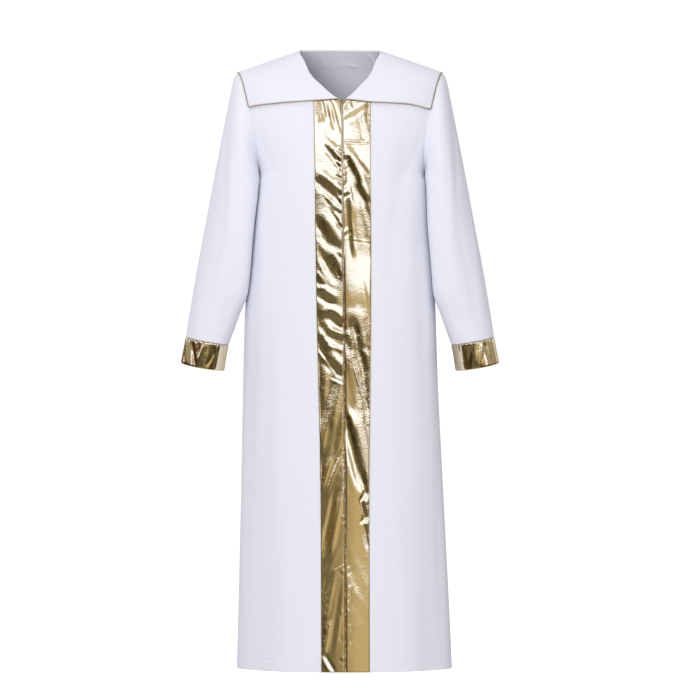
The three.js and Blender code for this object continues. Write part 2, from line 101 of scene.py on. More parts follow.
def set_up(thing, spot, target):
    """Puts a camera or lamp at a spot, looking at a target, both in millimetres."""
    thing.location = [c * MM for c in spot]
    scene.collection.objects.link(thing)
    way = thing.location - Vector([c * MM for c in target])
    thing.rotation_euler = way.to_track_quat("Z", "Y").to_euler()


eye = bpy.data.cameras.new("camera")
eye.sensor_width = CAMERA["sensor"]
eye.lens = CAMERA["sensor"] * CAMERA["away"] / CAMERA["seen_width"]
eye.clip_end = CAMERA["clip_end"]
camera = bpy.data.objects.new("camera", eye)
set_up(camera, (CAMERA["x"], -CAMERA["away"], CAMERA["z"]), (CAMERA["x"], 0, CAMERA["z"]))
scene.camera = camera

for lamp in LAMPS:
    glow = bpy.data.lights.new(lamp["name"], "AREA")
    glow.size = lamp["wide"] * MM
    glow.energy = lamp["power"]
    light = bpy.data.objects.new(lamp["name"], glow)
    light.visible_glossy = False
    set_up(light, (lamp["x"], lamp["y"], lamp["z"]), LAMPS_AIM)


def maths(tree, kind, *values):
    """A Math node of a kind over values, each a number or another node's socket."""
    node = tree.nodes.new("ShaderNodeMath")
    node.operation = kind
    for place, value in enumerate(values):
        if isinstance(value, (int, float)):
            node.inputs[place].default_value = value
        else:
            tree.links.new(value, node.inputs[place])
    return node.outputs[0]


def mapped(tree, value, ends, to_ends=(0, 1)):
    """A value carried over from one range to another, and held at its ends."""
    node = tree.nodes.new("ShaderNodeMapRange")
    for label, number in zip(("From Min", "From Max", "To Min", "To Max"), (*ends, *to_ends)):
        node.inputs[label].default_value = number
    tree.links.new(value, node.inputs["Value"])
    return node.outputs[0]


def banded(tree, value, stops):
    """Colours along a value: each stop is a place from 0 to 1 and its colour."""
    node = tree.nodes.new("ShaderNodeValToRGB")
    marks = node.color_ramp.elements
    marks.remove(marks[1])
    for number, (place, color) in enumerate(stops):
        mark = marks[0] if number == 0 else marks.new(place)
        mark.position = place
        mark.color = (*color, 1)
    tree.links.new(value, node.inputs[0])
    return node.outputs[0]


world = bpy.data.worlds.new("surround")
scene.world = world
world.use_nodes = True
sky = world.node_tree
sky.nodes.clear()
ray = sky.nodes.new("ShaderNodeLightPath")
way = sky.nodes.new("ShaderNodeTexCoord")
split = sky.nodes.new("ShaderNodeSeparateXYZ")
sky.links.new(way.outputs["Generated"], split.inputs[0])
to_left, up = split.outputs["X"], split.outputs["Z"]
step = mapped(sky, to_left, (-STEP["half"], STEP["half"]), (STEP["right"], STEP["left"]))
rise = mapped(sky, maths(sky, "ADD", step, up), (-1, 1))
by_rise = banded(sky, rise, [((row["rise"] + 1) / 2, row["color"]) for row in MIRRORED])
aside = maths(sky, "ABSOLUTE", to_left)
by_side = banded(sky, aside, [(row["reach"], row["tint"]) for row in SIDES])
tinted = sky.nodes.new("ShaderNodeMix")
tinted.data_type = "RGBA"
tinted.blend_type = "MULTIPLY"
tinted.inputs["Factor"].default_value = 1
sky.links.new(by_rise, tinted.inputs["A"])
sky.links.new(by_side, tinted.inputs["B"])
floor_tones = maths(sky, "MULTIPLY", mapped(sky, up, GAIN["below"]), mapped(sky, up, GAIN["above"]))
gain = sky.nodes.new("ShaderNodeMix")
gain.inputs["A"].default_value = 1
sky.links.new(floor_tones, gain.inputs["Factor"])
sky.links.new(mapped(sky, to_left, GAIN["across"], GAIN["gain"]), gain.inputs["B"])
even, seen, mirrored = (sky.nodes.new("ShaderNodeBackground") for _ in range(3))
for white, strength in ((even, SURROUND["even"]), (seen, SURROUND["seen"])):
    white.inputs["Color"].default_value = (1, 1, 1, 1)
    white.inputs["Strength"].default_value = strength
sky.links.new(tinted.outputs["Result"], mirrored.inputs["Color"])
sky.links.new(gain.outputs[0], mirrored.inputs["Strength"])


def by_ray(kind, others, own):
    """One of two backgrounds, by the kind of ray that meets it."""
    node = sky.nodes.new("ShaderNodeMixShader")
    sky.links.new(ray.outputs[kind], node.inputs[0])
    sky.links.new(others.outputs[0], node.inputs[1])
    sky.links.new(own.outputs[0], node.inputs[2])
    return node


out = sky.nodes.new("ShaderNodeOutputWorld")
lighting = by_ray("Is Glossy Ray", even, mirrored)
sky.links.new(by_ray("Is Camera Ray", lighting, seen).outputs[0], out.inputs[0])

bpy.ops.mesh.primitive_circle_add(
    vertices=FLOOR["sides"], radius=FLOOR["radius"] * MM, fill_type="NGON", location=(0, 0, FLOOR["z"] * MM)
)
floor = bpy.context.object
floor.name = "floor"
floor.visible_glossy = False
floor.visible_diffuse = False
pale = bpy.data.materials.new("pale_floor")
pale.use_nodes = True
pale_shader = pale.node_tree.nodes["Principled BSDF"]
pale_shader.inputs["Base Color"].default_value = (*FLOOR["color"], 1)
pale_shader.inputs["Roughness"].default_value = 1
pale_shader.inputs["Emission Color"].default_value = (1, 1, 1, 1)
pale_shader.inputs["Emission Strength"].default_value = FLOOR["glow"]
floor.data.materials.append(pale)


# ---- Fronts: two panels of white polyester, each from the centre front to the side seam ----
# Cut to the neckline, shoulder, armhole, side seam and hem. The wearer's left front is at +X.
# Their edges meet at the centre over the zip, and they hang in soft, shallow flutes.
HEM = -1357
# The neck, shoulder and armpit points of the wearer's left, which the right mirrors, and how deep
# the armhole is from front to back and scooped towards the body.
NECK = {"half": 84, "z": -2.4}
SHOULDER = {"x": 223, "z": -51}
ARMPIT = {"x": 183, "z": -284}
ARMHOLE = {"deep": 69, "scoop_front": 14, "scoop_back": 8}
# The point of the V.
NECK_V = -114.5
# The neckline's curve between the V and the shoulder is drawn towards these two points.
NECK_DRAWN = [(64, -76, -70), (101, -42, -6)]
# The cloth's thickness, and the gaps at a seam and between the front edges.
CLOTH = 1.6
SEAM = 0.4
OPENING = 1.2
# Rows run up from the hem (0) to the armpit, the collar's corner and the shoulder seam.
ARMPIT_ROW, COLLAR_ROW, TOP_ROW = 17, 23, 29
# Columns run from the centre front (0) past the gold band to the side.
BAND_COLS, COLS = 3, 11
# How much of a row's climb to the side lies within the band.
BAND_CLIMB = 0.16
# Where the collar's corner meets the armhole, in degrees from the shoulder point.
YOKE_TURN = 72
# Near the armhole the columns are drawn in: at most to this power, and by this many degrees.
DRAWN_IN = {"power": 5, "angle": 65}
# Level sections of the robe: half width, depth of the front and the back, swing to the wearer's
# left, and how square they are (2 is an ellipse).
BODY = rows_of(
    "z half front back swing square",
    (-100, 183, 97, 98, 0, 2.35),
    (-200, 183, 116, 112, 0, 2.5),
    (-284, 183, 125, 117, 0, 2.7),
    (-345, 189.5, 127.5, 117, 0, 2.68),
    (-420, 196, 129, 117, 0, 2.6),
    (-572, 208.5, 131, 120, 0, 2.45),
    (-770, 215, 135, 130, 1.5, 2.3),
    (-990, 222.5, 144, 146, 5, 2.2),
    (-1210, 230.5, 155, 162, 8, 2.15),
    (HEM, 236, 163, 174, 9.5, 2.15),
)
# A front's edge at the centre, and the width of the band beside it.
FRONT_EDGE = rows_of(
    "z x band",
    (-90, 4.5, 62),
    (-300, 6.5, 60.5),
    (-440, 7.5, 60),
    (-600, 9, 58.5),
    (-800, 10.5, 55),
    (-990, 11.3, 52.5),
    (HEM, 12.4, 52),
)
# Flutes: degrees round from the centre front (+ to the wearer's left), width, depth at the hem
# (+ stands out) and the height at which the flute has died away.
FLUTES = rows_of(
    "at width depth top",
    (-72, 13, 3, -520),
    (-50, 12, -3.5, -430),
    (-30, 12, 2.5, -600),
    (34, 12, 3, -500),
    (53, 12, -3.5, -560),
    (74, 12, 3.5, -430),
    (-118, 13, 6, -420),
    (-139, 12, -7, -380),
    (-159, 12, 8, -330),
    (180, 12, -8, -360),
    (160, 12, 7, -400),
    (140, 12, -6, -340),
    (119, 13, 6, -450),
)
# Soft creases of a front, at a distance from its front edge and a height: how far it leans out
# going down (degrees), half length, half width and depth (+ stands out).
CREASE = "a z lean long wide deep"
FRONT_CREASES = {
    "right": rows_of(
        CREASE,
        (165, -250, -22, 70, 11, -1.6),
        (128, -330, -9, 150, 16, -1.3),
        (190, -420, -4, 130, 15, 1.3),
        (215, -640, 3, 170, 18, -2.2),
        (150, -800, 2, 260, 22, 1.5),
        (232, -960, 2, 220, 16, -2.4),
        (105, -1080, 3, 230, 20, -1.3),
    ),
    "left": rows_of(
        CREASE,
        (160, -235, -25, 60, 10, -1.8),
        (118, -360, -8, 180, 15, -1.8),
        (150, -430, -5, 170, 14, 1.2),
        (180, -520, 2, 200, 17, -2),
        (210, -760, 3, 220, 18, 1.6),
        (130, -900, 3, 260, 22, -1.6),
        (228, -1050, 2, 230, 16, -2.2),
    ),
}
# The creases die out over so many rows or columns, at the band, the side seam and the collar.
FADE = {"band": 0.8, "seam": 1.2, "collar": 2}
# Under the band a front lies lower, to make room for the foil's crumples: how far, the columns
# and rows over which it goes down, and the rows by which it reaches past the collar's edge.
UNDER_BAND = {"deep": 3, "edge": 0.3, "past": 0.8, "top": 0.6}
# The neckline has drawn open near the point of the V: how far out it moves, by height, how wide
# it is there, and how far past its edge the shift is even and dies away.
OPENED = {
    "x": 4.5,
    "z": [-131, -124, -118, -114, -108, -103, -95, -88, -79, -66, -50, -40, -25, -5],
    "out": [0, 1, 4, 7, 8, 8, 7, 6, 5, 6, 3, -1, -4, 0],
    "half": [1, 1, 1, 2, 10, 17, 27, 35, 44, 53, 63, 69, 77, 84],
    "even": 15,
    "far": 60,
}
# Where the robe has settled sideways beside the arms: the place, how far round it the shift is
# even and dies away, how far up and down it reaches, and the shift.
SETTLED = rows_of(
    "x z even near reach by",
    (188, -300, 18, 70, 75, 8),
    (198, -470, 18, 70, 95, 4.5),
    (-186, -300, 18, 70, 60, 3),
)
# The hem is turned up and stitched through, which draws a shallow groove.
HEM_STITCH = {"up": 24, "deep": 0.5, "wide": 1.3}
WHITE = {"color": (0.8, 0.805, 0.885), "shade": (0.775, 0.78, 0.862), "rough": 0.78}
WEAVE = {"threads": 1500, "slub": 90, "bump": 0.12, "deep": 0.0002, "sheen": 0.12, "sheen_rough": 0.45}
TINY = 1e-9


def lerp(a, b, share):
    """A number on the way from a to b."""
    return a + (b - a) * share


def between(a, b, share):
    """Points on the way from a to b, by an array of shares."""
    return a + (b - a) * np.asarray(share)[..., None]


def smooth(t):
    """Eases from 0 to 1, and stays there beyond."""
    t = np.clip(t, 0, 1)
    return t * t * (3 - 2 * t)


def swell(off, wide, power=2):
    """1 in the middle of a swelling, dying away at about its half width."""
    return np.exp(-(np.abs(off / wide) ** power))


def point(x, y, z):
    """Points from their coordinates, which may be arrays."""
    return np.stack(np.broadcast_arrays(x, y, z), axis=-1).astype(float)


def along(table, column, z):
    """A column of a table at heights z, on a smooth curve through its rows."""
    heights = np.array([row["z"] for row in table], float)
    values = np.array([row[column] for row in table], float)
    last = len(table) - 1
    after = np.minimum(np.arange(len(table)) + 1, last)
    before = np.maximum(np.arange(len(table)) - 1, 0)
    slopes = (values[after] - values[before]) / (heights[after] - heights[before])
    z = np.clip(z, heights[-1], heights[0])
    i = np.clip(np.searchsorted(-heights, -z, side="left") - 1, 0, last - 1)
    step = heights[i + 1] - heights[i]
    t = (z - heights[i]) / step
    curve = values[i] * (1 + 2 * t) * (1 - t) ** 2 + values[i + 1] * t * t * (3 - 2 * t)
    return curve + step * (slopes[i] * t * (1 - t) ** 2 - slopes[i + 1] * t * t * (1 - t))


def settled(points):
    """Moves points beside the V and the armpits a little sideways, to where they have settled."""
    moved = points.copy()
    x, y, z = (points[..., k] for k in range(3))
    off = x - OPENED["x"]
    past = np.abs(off) - np.interp(z, OPENED["z"], OPENED["half"])
    near = smooth((OPENED["far"] - past) / (OPENED["far"] - OPENED["even"])) * (y < 0)
    moved[..., 0] += np.sign(off) * near * np.interp(z, OPENED["z"], OPENED["out"])
    for row in SETTLED:
        near = smooth((row["near"] - np.abs(x - row["x"])) / (row["near"] - row["even"]))
        moved[..., 0] += row["by"] * near * swell(z - row["z"], row["reach"])
    return moved


def armhole(side, face, turn):
    """Points of an armhole, at turns in degrees from the shoulder point down to the armpit."""
    round_, rise = np.sin(np.radians(turn)), (1 + np.cos(np.radians(turn))) / 2
    scoop = ARMHOLE["scoop_front" if face < 0 else "scoop_back"]
    x = lerp(ARMPIT["x"], SHOULDER["x"], rise) - scoop * round_
    return point(side * x, face * ARMHOLE["deep"] * round_, lerp(ARMPIT["z"], SHOULDER["z"], rise))


def section(face, z):
    """The level section of the robe at heights z: half width, depth, swing, power, end angle."""
    power = along(BODY, "square", z)
    deep = along(BODY, "front" if face < 0 else "back", z)
    rise = np.clip((z - ARMPIT["z"]) / (SHOULDER["z"] - ARMPIT["z"]), 0, 1)
    arm = armhole(1, face, np.degrees(np.arccos(2 * rise - 1)))
    below = z <= ARMPIT["z"]
    wide = arm[..., 0] / (1 - (np.abs(arm[..., 1]) / deep) ** power) ** (1 / power)
    half = np.where(below, along(BODY, "half", z), wide)
    end = np.arcsin(np.clip(arm[..., 0] / half, 0, 1) ** (power / 2))
    return half, deep, along(BODY, "swing", z), power, np.where(below, np.pi / 2, end)


def spread(start, end, share):
    """The angle of a column: even steps to the side, drawn in near the armhole."""
    drawn = np.pi / 2 - end
    power = np.minimum(DRAWN_IN["power"], np.radians(DRAWN_IN["angle"]) / np.maximum(drawn, TINY))
    return start + (np.pi / 2 - start) * share - drawn * share**power


def flute(angle, z):
    """How far the flutes stand out at angles round the robe, in degrees, and heights."""
    total = 0
    for row in FLUTES:
        off = (angle - row["at"] + 180) % 360 - 180
        low = smooth((row["top"] - z) / (row["top"] - HEM))
        total = total + row["depth"] * swell(off, row["width"]) * low
    return total


def body_point(face, angle, z):
    """Points of the robe at angles from the centre front or back, + to the wearer's left."""
    half, deep, swing, power, _ = section(face, z)
    x = np.sign(angle) * np.abs(np.sin(angle)) ** (2 / power)
    y = face * np.abs(np.cos(angle)) ** (2 / power)
    out_x, out_y = np.abs(x) ** (power - 1) / half, np.abs(y) ** (power - 1) / deep
    out = point(np.sign(x) * out_x, face * out_y, 0)
    out /= np.linalg.norm(out, axis=-1, keepdims=True)
    round_ = np.degrees(angle if face < 0 else np.pi - angle)
    return point(swing + x * half, y * deep, z) + out * flute(round_, z)[..., None]


def side_height(row):
    """The height of a row at the side: even steps up to the armpit, then up the armhole."""
    turn = 180 - (180 - YOKE_TURN) * np.clip((row - ARMPIT_ROW) / (COLLAR_ROW - ARMPIT_ROW), 0, 1)
    skirt = lerp(HEM, ARMPIT["z"], np.clip(row / ARMPIT_ROW, 0, 1))
    return np.where(row <= ARMPIT_ROW, skirt, armhole(1, -1, turn)[..., 2])


CORNER_Z = float(side_height(np.array(COLLAR_ROW)))


def centre_height(z, at_collar):
    """The height at the centre of a row that is at height z at the side."""
    return HEM + (z - HEM) * (at_collar - HEM) / (CORNER_Z - HEM)


def front_point(side, col, z_side):
    """Points of a front up to the collar's lower edge."""
    band = np.minimum(col / BAND_COLS, 1)
    rest = np.maximum(col - BAND_COLS, 0) / (COLS - BAND_COLS)
    climb = BAND_CLIMB * band + (1 - BAND_CLIMB) * rest
    z = lerp(centre_height(z_side, NECK_V), z_side, climb)
    edge = along(FRONT_EDGE, "x", z) + side * OPENING / 2
    half, _, swing, power, end = section(-1, z)
    share = (edge + side * band * along(FRONT_EDGE, "band", z) - swing) / half
    start = side * np.sign(share) * np.arcsin(np.abs(share) ** (power / 2))
    made = body_point(-1, side * spread(start, end, rest), z)
    at_seam = (col >= COLS - TINY) & (z <= ARMPIT["z"])
    made[..., 1] = np.where(at_seam, -SEAM / 2, made[..., 1])
    return made


def front_surface(side, col, row):
    """Points of the outer face of a front, by column and row."""
    col, row = np.broadcast_arrays(np.asarray(col, float), np.asarray(row, float))
    skirt = front_point(side, col, side_height(row))
    low = front_point(side, col, np.full_like(col, CORNER_Z))
    first = front_point(side, np.array(0.0), np.array(CORNER_Z))
    last = front_point(side, np.array(float(COLS)), np.array(CORNER_Z))
    share = (low[..., 0] - first[0]) / (last[0] - first[0])
    t = np.clip((row - COLLAR_ROW) / (TOP_ROW - COLLAR_ROW), 0, 1)
    drawn = [(side * x, y, z) for x, y, z in NECK_DRAWN]
    corners = [first, *drawn, (side * NECK["half"], -SEAM / 2, NECK["z"])]
    weights = [(1 - t) ** 3, 3 * t * (1 - t) ** 2, 3 * t * t * (1 - t), t**3]
    neck = sum(w[..., None] * np.array(c) for w, c in zip(weights, corners))
    arm = armhole(side, -1, YOKE_TURN * (1 - t))
    arm[..., 1] = np.minimum(arm[..., 1], -SEAM / 2)
    bulge = low - between(first, last, share)
    yoke = between(neck, arm, share) + bulge * np.cos(t * np.pi / 2)[..., None]
    return np.where((row <= COLLAR_ROW)[..., None], skirt, yoke)


def ringed(points):
    """A closed grid with its first column again at its end."""
    return np.concatenate([points, points[:, :1]], axis=1)


def facing_out(points, out, closed=False):
    """Unit normals of a grid of points, on the side where the robe faces out."""
    if closed:
        padded = np.concatenate([points[:, -1:], ringed(points)], axis=1)
        over = (padded[:, 2:] - padded[:, :-2]) / 2
    else:
        over = np.gradient(points, axis=1)
    normal = np.cross(over, np.gradient(points, axis=0)) * out
    return normal / np.maximum(np.linalg.norm(normal, axis=-1, keepdims=True), TINY)


def run_length(points, axis):
    """Distance along each line of a grid, from its start."""
    steps = np.linalg.norm(np.diff(points, axis=axis), axis=-1)
    start = np.zeros_like(np.take(steps, [0], axis=axis))
    return np.concatenate([start, np.cumsum(steps, axis=axis)], axis=axis)


def off_and_on(row, a, z):
    """How far points at distances a and heights z lie off a leaning line, and along it."""
    lean = np.radians(row["lean"])
    down = row["z"] - z
    off = (a - row["a"]) * np.cos(lean) - down * np.sin(lean)
    return off, (a - row["a"]) * np.sin(lean) + down * np.cos(lean)


def creases(table, a, z):
    """How far a table of creases moves the cloth out, over distances a and heights z."""
    total = np.zeros_like(a)
    for row in table:
        off, on = off_and_on(row, a, z)
        total += row["deep"] * swell(off, row["wide"]) * swell(on, row["long"], 4)
    return total


def hem_groove(z):
    """How far the stitches of the hem draw the cloth in."""
    return HEM_STITCH["deep"] * swell(z - HEM - HEM_STITCH["up"], HEM_STITCH["wide"])


def steps_to(start, *stretches):
    """Even steps from a start through stretches, each given by its end and number of steps."""
    made = [np.array([float(start)])]
    for end, count in stretches:
        made.append(np.linspace(made[-1][-1], end, count + 1)[1:])
    return np.concatenate(made)


def faces_of(number, out):
    """The faces of a grid of numbered points, their corners turning round the outer side."""
    faces = np.stack([number[:-1, :-1], number[:-1, 1:], number[1:, 1:], number[1:, :-1]], axis=-1)
    return faces.reshape(-1, 4) if out > 0 else faces.reshape(-1, 4)[:, ::-1]


def new_piece(name, points, faces, material):
    """An object with a mesh through points in millimetres."""
    mesh = bpy.data.meshes.new(name)
    mesh.from_pydata((points.reshape(-1, 3) * MM).tolist(), [], faces.tolist())
    mesh.materials.append(material)
    piece = bpy.data.objects.new(name, mesh)
    scene.collection.objects.link(piece)
    return piece


def cloth(name, points, out, wall, material, closed=False):
    """A piece of cloth: its outer face through a grid of points, and a wall under it."""
    number = np.arange(points[..., 0].size).reshape(points.shape[:2])
    seen = ringed(points) if closed else points
    faces = faces_of(ringed(number) if closed else number, out)
    piece = new_piece(name, points, faces, material)
    piece.data.polygons.foreach_set("use_smooth", np.ones(len(faces), bool))
    place = np.stack([run_length(seen, 1), run_length(seen, 0)], axis=-1) * MM
    corners = faces_of(np.arange(seen[..., 0].size).reshape(seen.shape[:2]), out)
    layer = piece.data.uv_layers.new(name="weave")
    layer.data.foreach_set("uv", place.reshape(-1, 2)[corners.reshape(-1)].reshape(-1))
    under = piece.modifiers.new("wall", "SOLIDIFY")
    under.thickness = wall * MM
    under.offset = -1
    return piece


def group_of(name, values_in, values_out):
    """A shader group with named inputs and outputs: its tree, its ends and its weave place."""
    tree = bpy.data.node_groups.new(name, "ShaderNodeTree")
    for label, start in values_in.items():
        socket = tree.interface.new_socket(label, in_out="INPUT", socket_type="NodeSocketFloat")
        socket.default_value = start
    for label in values_out:
        tree.interface.new_socket(label, in_out="OUTPUT", socket_type="NodeSocketFloat")
    ends = tree.nodes.new("NodeGroupInput"), tree.nodes.new("NodeGroupOutput")
    lay = tree.nodes.new("ShaderNodeUVMap")
    lay.uv_map = "weave"
    return tree, *ends, lay.outputs[0]


def noise(tree, place, scale, detail=2, distortion=0):
    """Soft noise from 0 to 1 over a place, with so many lumps to a metre."""
    node = tree.nodes.new("ShaderNodeTexNoise")
    node.inputs["Scale"].default_value = scale
    node.inputs["Detail"].default_value = detail
    node.inputs["Distortion"].default_value = distortion
    tree.links.new(place, node.inputs["Vector"])
    return node.outputs[0]


# Plain weave: threads over and under each other, with a few thicker slubs.
weave, weave_in, weave_out, lay = group_of("plain_weave", {"Threads per metre": 1}, ["Height", "Slub"])
axes = weave.nodes.new("ShaderNodeSeparateXYZ")
weave.links.new(lay, axes.inputs[0])
turns = maths(weave, "MULTIPLY", weave_in.outputs[0], np.pi)
warp = maths(weave, "SINE", maths(weave, "MULTIPLY", axes.outputs[0], turns))
weft = maths(weave, "SINE", maths(weave, "MULTIPLY", axes.outputs[1], turns))
crossed = maths(weave, "MULTIPLY", warp, weft)
weave.links.new(maths(weave, "MULTIPLY_ADD", crossed, 0.5, 0.5), weave_out.inputs["Height"])
weave.links.new(noise(weave, lay, WEAVE["slub"], detail=4), weave_out.inputs["Slub"])


def fabric_of(name, group, values, bump, deep):
    """A material whose bump comes from a group: it, its tree, its shader and the group's node."""
    made = bpy.data.materials.new(name)
    made.use_nodes = True
    tree = made.node_tree
    shader = tree.nodes["Principled BSDF"]
    form = tree.nodes.new("ShaderNodeGroup")
    form.node_tree = group
    for label, value in values.items():
        form.inputs[label].default_value = value
    raised = tree.nodes.new("ShaderNodeBump")
    raised.inputs["Strength"].default_value = bump
    raised.inputs["Distance"].default_value = deep
    tree.links.new(form.outputs["Height"], raised.inputs["Height"])
    tree.links.new(raised.outputs[0], shader.inputs["Normal"])
    return made, tree, shader, form


def two_tones(tree, shader, share, shade, color):
    """Gives a shader a base colour between a shade and a colour."""
    tone = tree.nodes.new("ShaderNodeMix")
    tone.data_type = "RGBA"
    tone.inputs["A"].default_value = (*shade, 1)
    tone.inputs["B"].default_value = (*color, 1)
    tree.links.new(share, tone.inputs["Factor"])
    tree.links.new(tone.outputs["Result"], shader.inputs["Base Color"])


def plain_cloth(name, color, shade, rough):
    """Matte woven cloth: shade is its darker colour in the slubs."""
    threads = {"Threads per metre": WEAVE["threads"]}
    made, tree, shader, fabric = fabric_of(name, weave, threads, WEAVE["bump"], WEAVE["deep"])
    two_tones(tree, shader, fabric.outputs["Slub"], shade, color)
    shader.inputs["Roughness"].default_value = rough
    shader.inputs["Sheen Weight"].default_value = WEAVE["sheen"]
    shader.inputs["Sheen Roughness"].default_value = WEAVE["sheen_rough"]
    return made


white_cloth = plain_cloth("white_cloth", **WHITE)
# Steps up a panel: a fine hem, the skirt, the armhole and the yoke.
HEM_ROW = 0.5
PANEL_ROWS = steps_to(0, (HEM_ROW, 32), (ARMPIT_ROW, 149), (COLLAR_ROW, 36), (TOP_ROW, 30))
FRONT_COLS = steps_to(0, (BAND_COLS, 13), (COLS, 70))
for side, word in ((-1, "right"), (1, "left")):
    panel = front_surface(side, FRONT_COLS[None, :], PANEL_ROWS[:, None])
    fold = creases(FRONT_CREASES[word], run_length(panel, 1), panel[..., 2])
    # The creases die out at the seams and under the band, so that the pieces still meet.
    rim = smooth((FRONT_COLS - BAND_COLS) / FADE["band"]) * smooth((COLS - FRONT_COLS) / FADE["seam"])
    fold = fold * rim[None, :] * smooth((COLLAR_ROW - PANEL_ROWS) / FADE["collar"])[:, None]
    edge = UNDER_BAND["edge"]
    under = smooth(FRONT_COLS / edge) * smooth((BAND_COLS - FRONT_COLS) / edge)
    top = COLLAR_ROW + UNDER_BAND["past"]
    covered = smooth(PANEL_ROWS / edge) * smooth((top - PANEL_ROWS) / UNDER_BAND["top"])
    lowered = UNDER_BAND["deep"] * under[None, :] * covered[:, None]
    fold = fold - hem_groove(panel[..., 2]) - lowered
    panel = settled(panel + facing_out(panel, side) * fold[..., None])
    front = cloth(f"front_{word}_cloth", panel, side, CLOTH, white_cloth)
    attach(front, "root")
    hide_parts(f"front_{word}")


# ---- Back: one panel of the same cloth, cut on the fold ----
# It carries the back neckline and joins the fronts at the shoulders and sides. It hangs fuller
# than they do, in deeper flutes from the shoulder blades down.
BACK_NECK = {"y": 60, "z": 3}
BACK_COLLAR = -136
NECK_COLS = 4
# Between the collar's edge and the neckline the middle bends towards this point.
SPINE = {"y": 92, "z": -55}
# The powers by which a row climbs towards the side, and the neckline shapes the top of the yoke.
CLIMBING, NECK_SHAPES = 1.5, 1.4
# Creases of the back, at a distance from its middle and a height, like those of the fronts.
BACK_CREASES = rows_of(
    CREASE,
    (-150, -245, 30, 75, 12, -2.2),
    (148, -228, -34, 65, 11, -2.4),
    (-118, -340, 10, 150, 15, 2),
    (121, -352, -7, 170, 14, 2.3),
    (-62, -470, 4, 230, 17, -3),
    (22, -430, -3, 190, 15, 2.4),
    (78, -560, -2, 240, 18, -3.2),
    (-20, -640, 2, 260, 16, 2.6),
    (-140, -700, -3, 260, 19, -3.4),
    (150, -820, 3, 280, 20, -3.6),
    (-86, -930, -4, 300, 20, 3.4),
    (44, -980, 3, 290, 19, -3.6),
    (108, -1090, 4, 220, 17, 3),
    (-22, -1130, -2, 200, 18, -3),
    (-172, -1060, -5, 250, 16, 3),
)


def back_surface(side, col, row):
    """Points of the outer face of one half of the back, by column and row."""
    col, row = np.broadcast_arrays(np.asarray(col, float), np.asarray(row, float))

    def lower(z_side, c):
        share = c / COLS
        z = lerp(centre_height(z_side, BACK_COLLAR), z_side, share**CLIMBING)
        made = body_point(1, side * spread(0, section(1, z)[4], share), z)
        at_seam = (c >= COLS - TINY) & (z <= ARMPIT["z"])
        made[..., 1] = np.where(at_seam, SEAM / 2, made[..., 1])
        return made

    def top(c):
        seam = np.clip((c - NECK_COLS) / (COLS - NECK_COLS), 0, 1)
        corner = point(side * NECK["half"], SEAM / 2, NECK["z"])
        shoulder = between(corner, point(side * SHOULDER["x"], SEAM / 2, SHOULDER["z"]), seam)
        turn = np.clip(c / NECK_COLS, 0, 1) * np.pi / 2
        neck = point(
            side * NECK["half"] * np.sin(turn),
            SEAM / 2 + BACK_NECK["y"] * np.cos(turn),
            lerp(NECK["z"], BACK_NECK["z"], np.cos(turn)),
        )
        return np.where((c >= NECK_COLS)[..., None], shoulder, neck)

    start, end = np.zeros_like(col), np.full_like(col, COLS)
    corner_z = np.full_like(col, CORNER_Z)
    low, first, last = (lower(corner_z, c) for c in (col, start, end))
    high, high_first, high_last = (top(c) for c in (col, start, end))
    t = np.clip((row - COLLAR_ROW) / (TOP_ROW - COLLAR_ROW), 0, 1)
    bend = point(first[..., 0], SPINE["y"], SPINE["z"])
    spine = between(between(first, bend, t), between(bend, high_first, t), t)
    arm = armhole(side, 1, YOKE_TURN * (1 - t))
    arm[..., 1] = np.maximum(arm[..., 1], SEAM / 2)
    share = smooth(col / COLS)
    lift = np.cos(t * np.pi / 2)
    yoke = (
        between(spine, arm, share)
        + (low - between(first, last, share)) * lift[..., None]
        + (high - between(high_first, high_last, share)) * ((1 - lift) ** NECK_SHAPES)[..., None]
    )
    return np.where((row <= COLLAR_ROW)[..., None], lower(side_height(row), col), yoke)


def whole_back(cols, rows):
    """Both halves of the back, from the wearer's right side seam to the left."""
    right, left = (back_surface(side, cols[None, :], rows[:, None]) for side in (-1, 1))
    return np.concatenate([right[:, :0:-1], left], axis=1)


BACK_COLS = steps_to(0, (NECK_COLS, 28), (COLS, 49))
panel = whole_back(BACK_COLS, PANEL_ROWS)
fold = creases(BACK_CREASES, panel[..., 0], panel[..., 2])
# The creases die out at the seams and under the collar.
rim = smooth((COLS - np.concatenate([BACK_COLS[:0:-1], BACK_COLS])) / FADE["seam"])
fold = fold * rim[None, :] * smooth((COLLAR_ROW - PANEL_ROWS) / FADE["collar"])[:, None]
fold = fold - hem_groove(panel[..., 2])
panel = settled(panel + facing_out(panel, -1) * fold[..., None])
back = cloth("back_cloth", panel, -1, CLOTH, white_cloth)
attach(back, "root")
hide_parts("back")


# ---- Sleeves: long, set in, each one piece with its seam under the arm ----
# They hang just clear of the body, with the inner side turned a little forward. The first rings
# are drawn in to the armhole seam, and the front of a sleeve stands full beside the body.
SEAM_DRAW = {"in": 1.1, "places": 0.5}
# The fullness: where it is round the sleeve, its half width, how far it stands out and how clear
# of the body, and the rings over which it begins and ends.
FULL = {"turn": 148, "spread": 26, "deep": 9, "clear": 0.7, "top": 0.4, "in": 2.2, "end": 11.5, "out": 3}
# The creases die out beside the underarm seam (degrees) and at the ends (rings).
SLEEVE_FADE = {"seam": 50, "top": 3, "end": 1.5}
